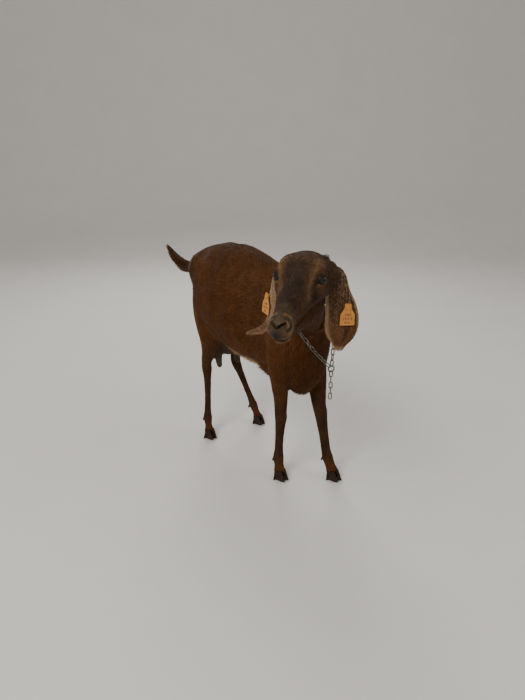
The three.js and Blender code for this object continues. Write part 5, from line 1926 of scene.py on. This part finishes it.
@dataclass
class Studio(Part):
    """The floor, the lights and the camera at the photograph's viewpoint.

    The camera stands at `eye_point` in mm and looks `yaw` degrees right of straight back and `pitch` down.
    The floor is in metres: it starts `near` before the camera's line, and bends up at `far`.
    """

    eye_point: tuple[float, float, float] = (-1073.0, -1471.0, 1088.0)
    yaw: float = 37.07
    pitch: float = 20.5
    focal: float = 518.0
    frame_height: float = 700
    sensor: float = 36
    near: float = -9.0
    far: float = 4.2
    bend: float = 2.2
    wall: float = 8.0
    half_width: float = 11
    world_light: float = 0.42
    lights: tuple[tuple, ...] = (
        ("key", (-2.9, -1.2, 3.4), (0, 0, 0.4), 1.8, 105, (1.0, 0.97, 0.93)),
        ("fill", (2.4, -2.6, 2.4), (0, 0, 0.4), 2.2, 22, (1.0, 0.98, 0.96)),
        ("rim", (1.6, 2.8, 2.9), (0, 0, 0.5), 1.6, 60, (1.0, 0.98, 0.95)),
    )

    @staticmethod
    def add(name: str, data: bpy.types.ID, at: Sequence[float], look: Vector) -> bpy.types.Object:
        """A camera or lamp put in the scene.

        Args:
            name: the object's name.
            data: the camera or light.
            at: its place in metres.
            look: the direction that it faces.
        """
        piece = bpy.data.objects.new(name, data)
        piece.location = at
        piece.rotation_euler = look.to_track_quat("-Z", "Y").to_euler()
        bpy.context.scene.collection.objects.link(piece)
        return piece

    def camera(self) -> None:
        """The camera: its upright frame's height is the sensor's."""
        data = bpy.data.cameras.new("camera")
        data.sensor_fit = "VERTICAL"
        data.sensor_height = self.sensor
        data.lens = self.focal * self.sensor / self.frame_height
        data.clip_start = 0.05
        yaw, pitch = np.radians((self.yaw, self.pitch))
        look = Vector((np.sin(yaw) * np.cos(pitch), np.cos(yaw) * np.cos(pitch), -np.sin(pitch)))
        bpy.context.scene.camera = self.add("camera", data, self.placement(self.eye_point), look)

    def floor(self) -> None:
        """A pale floor that bends up by a quarter circle into a plain backdrop, square to the view."""
        turn = np.radians(np.linspace(0, 90, 24))
        depth = np.r_[self.near, self.far + self.bend * np.sin(turn), self.far + self.bend]
        height = np.r_[0.0, self.bend - self.bend * np.cos(turn), self.wall]
        yaw = np.radians(self.yaw)
        look, right = np.array([np.sin(yaw), np.cos(yaw), 0]), np.array([np.cos(yaw), -np.sin(yaw), 0])
        line = depth[:, None] * look + height[:, None] * UP
        vertices = np.vstack([line - self.half_width * right, line + self.half_width * right])
        k, n = np.arange(len(line) - 1), len(line)
        piece = new_object("floor", vertices, np.stack([k, k + n, k + n + 1, k + 1], -1), [self.finish])

    def build(self) -> None:
        """Sets up the whole studio, with square area lights and a weak even light."""
        self.camera()
        self.floor()
        for name, at, aim, size, power, colour in self.lights:
            data = bpy.data.lights.new(name, "AREA")
            data.size, data.energy, data.color = size, power, colour
            self.add(name, data, at, Vector(aim) - Vector(at))
        world = bpy.data.worlds.new("studio")
        world.use_nodes = True
        background = world.node_tree.nodes["Background"]
        background.inputs[0].default_value = (1.0, 0.98, 0.955, 1)
        background.inputs[1].default_value = self.world_light
        bpy.context.scene.world = world


def build_skin(placement: Placement, finish: bpy.types.Material) -> tuple[Surface, Array]:
    """The skin as one piece in place of the flesh.

    Args:
        placement: moves it to the solids' frame.
        finish: its material.

    Returns:
        the surface that the hair grows on, drawn in by the coat's depth, and its colours.
    """
    surface = Skin(Samples()).surface()
    colours = Markings().colours(surface)
    depth = surface.weights @ np.array([HAIR[r].depth for r in Region])
    surface.points = surface.points - surface.normals * depth[:, None]
    piece = new_object("skin", placement(surface.points), surface.triangles, [finish])
    set_colours(piece.data, colours)
    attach(piece, "root")
    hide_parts(*FLESH_NODES)
    LOG.info("skin: %d triangles", len(surface.triangles))
    return surface, colours


def main() -> None:
    """Builds every piece in order."""
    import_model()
    placement = Placement()
    hide = CoatFinish("short_hair_on_skin", roughness=0.6, specular=0.14, bump=0.0008).build()
    hair = CoatFinish("coat_hair", roughness=0.5, specular=0.2).build()
    surface, colours = build_skin(placement, hide)
    horn = HornFinish("hoof_horn", roughness=0.55, specular=0.15).build()
    for leg in LEG_ROWS:
        Hoof(placement, horn, leg).build()
    wet = EyeFinish("wet_eye", roughness=0.1, specular=0.22, coat=0.12).build()
    for side in SIDES:
        Eye(placement, wet, side).build()
    plastic = TagFinish("tag_plastic", roughness=0.4).build()
    ink_tones = ((0.06, 0.03, 0.015), (0.20, 0.09, 0.03))
    ink = CloudFinish("tag_ink", roughness=0.5, scale=500, tones=ink_tones).build()
    for ear, sizes in zip(EARS, TAG_SIZES):
        EarTag(placement, plastic, ink, ear, **sizes).build()
    Chain(placement, SteelFinish("dull_zinc", roughness=0.4, metallic=1.0).build()).build()
    coat = Coat(placement, hair, surface, colours)
    for seed, (name, mask) in enumerate(coat.pieces(), 11):
        piece = coat.piece(name, mask, seed)
    Studio(placement, CloudFinish("pale_floor", roughness=0.75).build()).build()


if __name__ == "__main__":
    logging.basicConfig(level=logging.INFO, format="%(message)s")
    main()
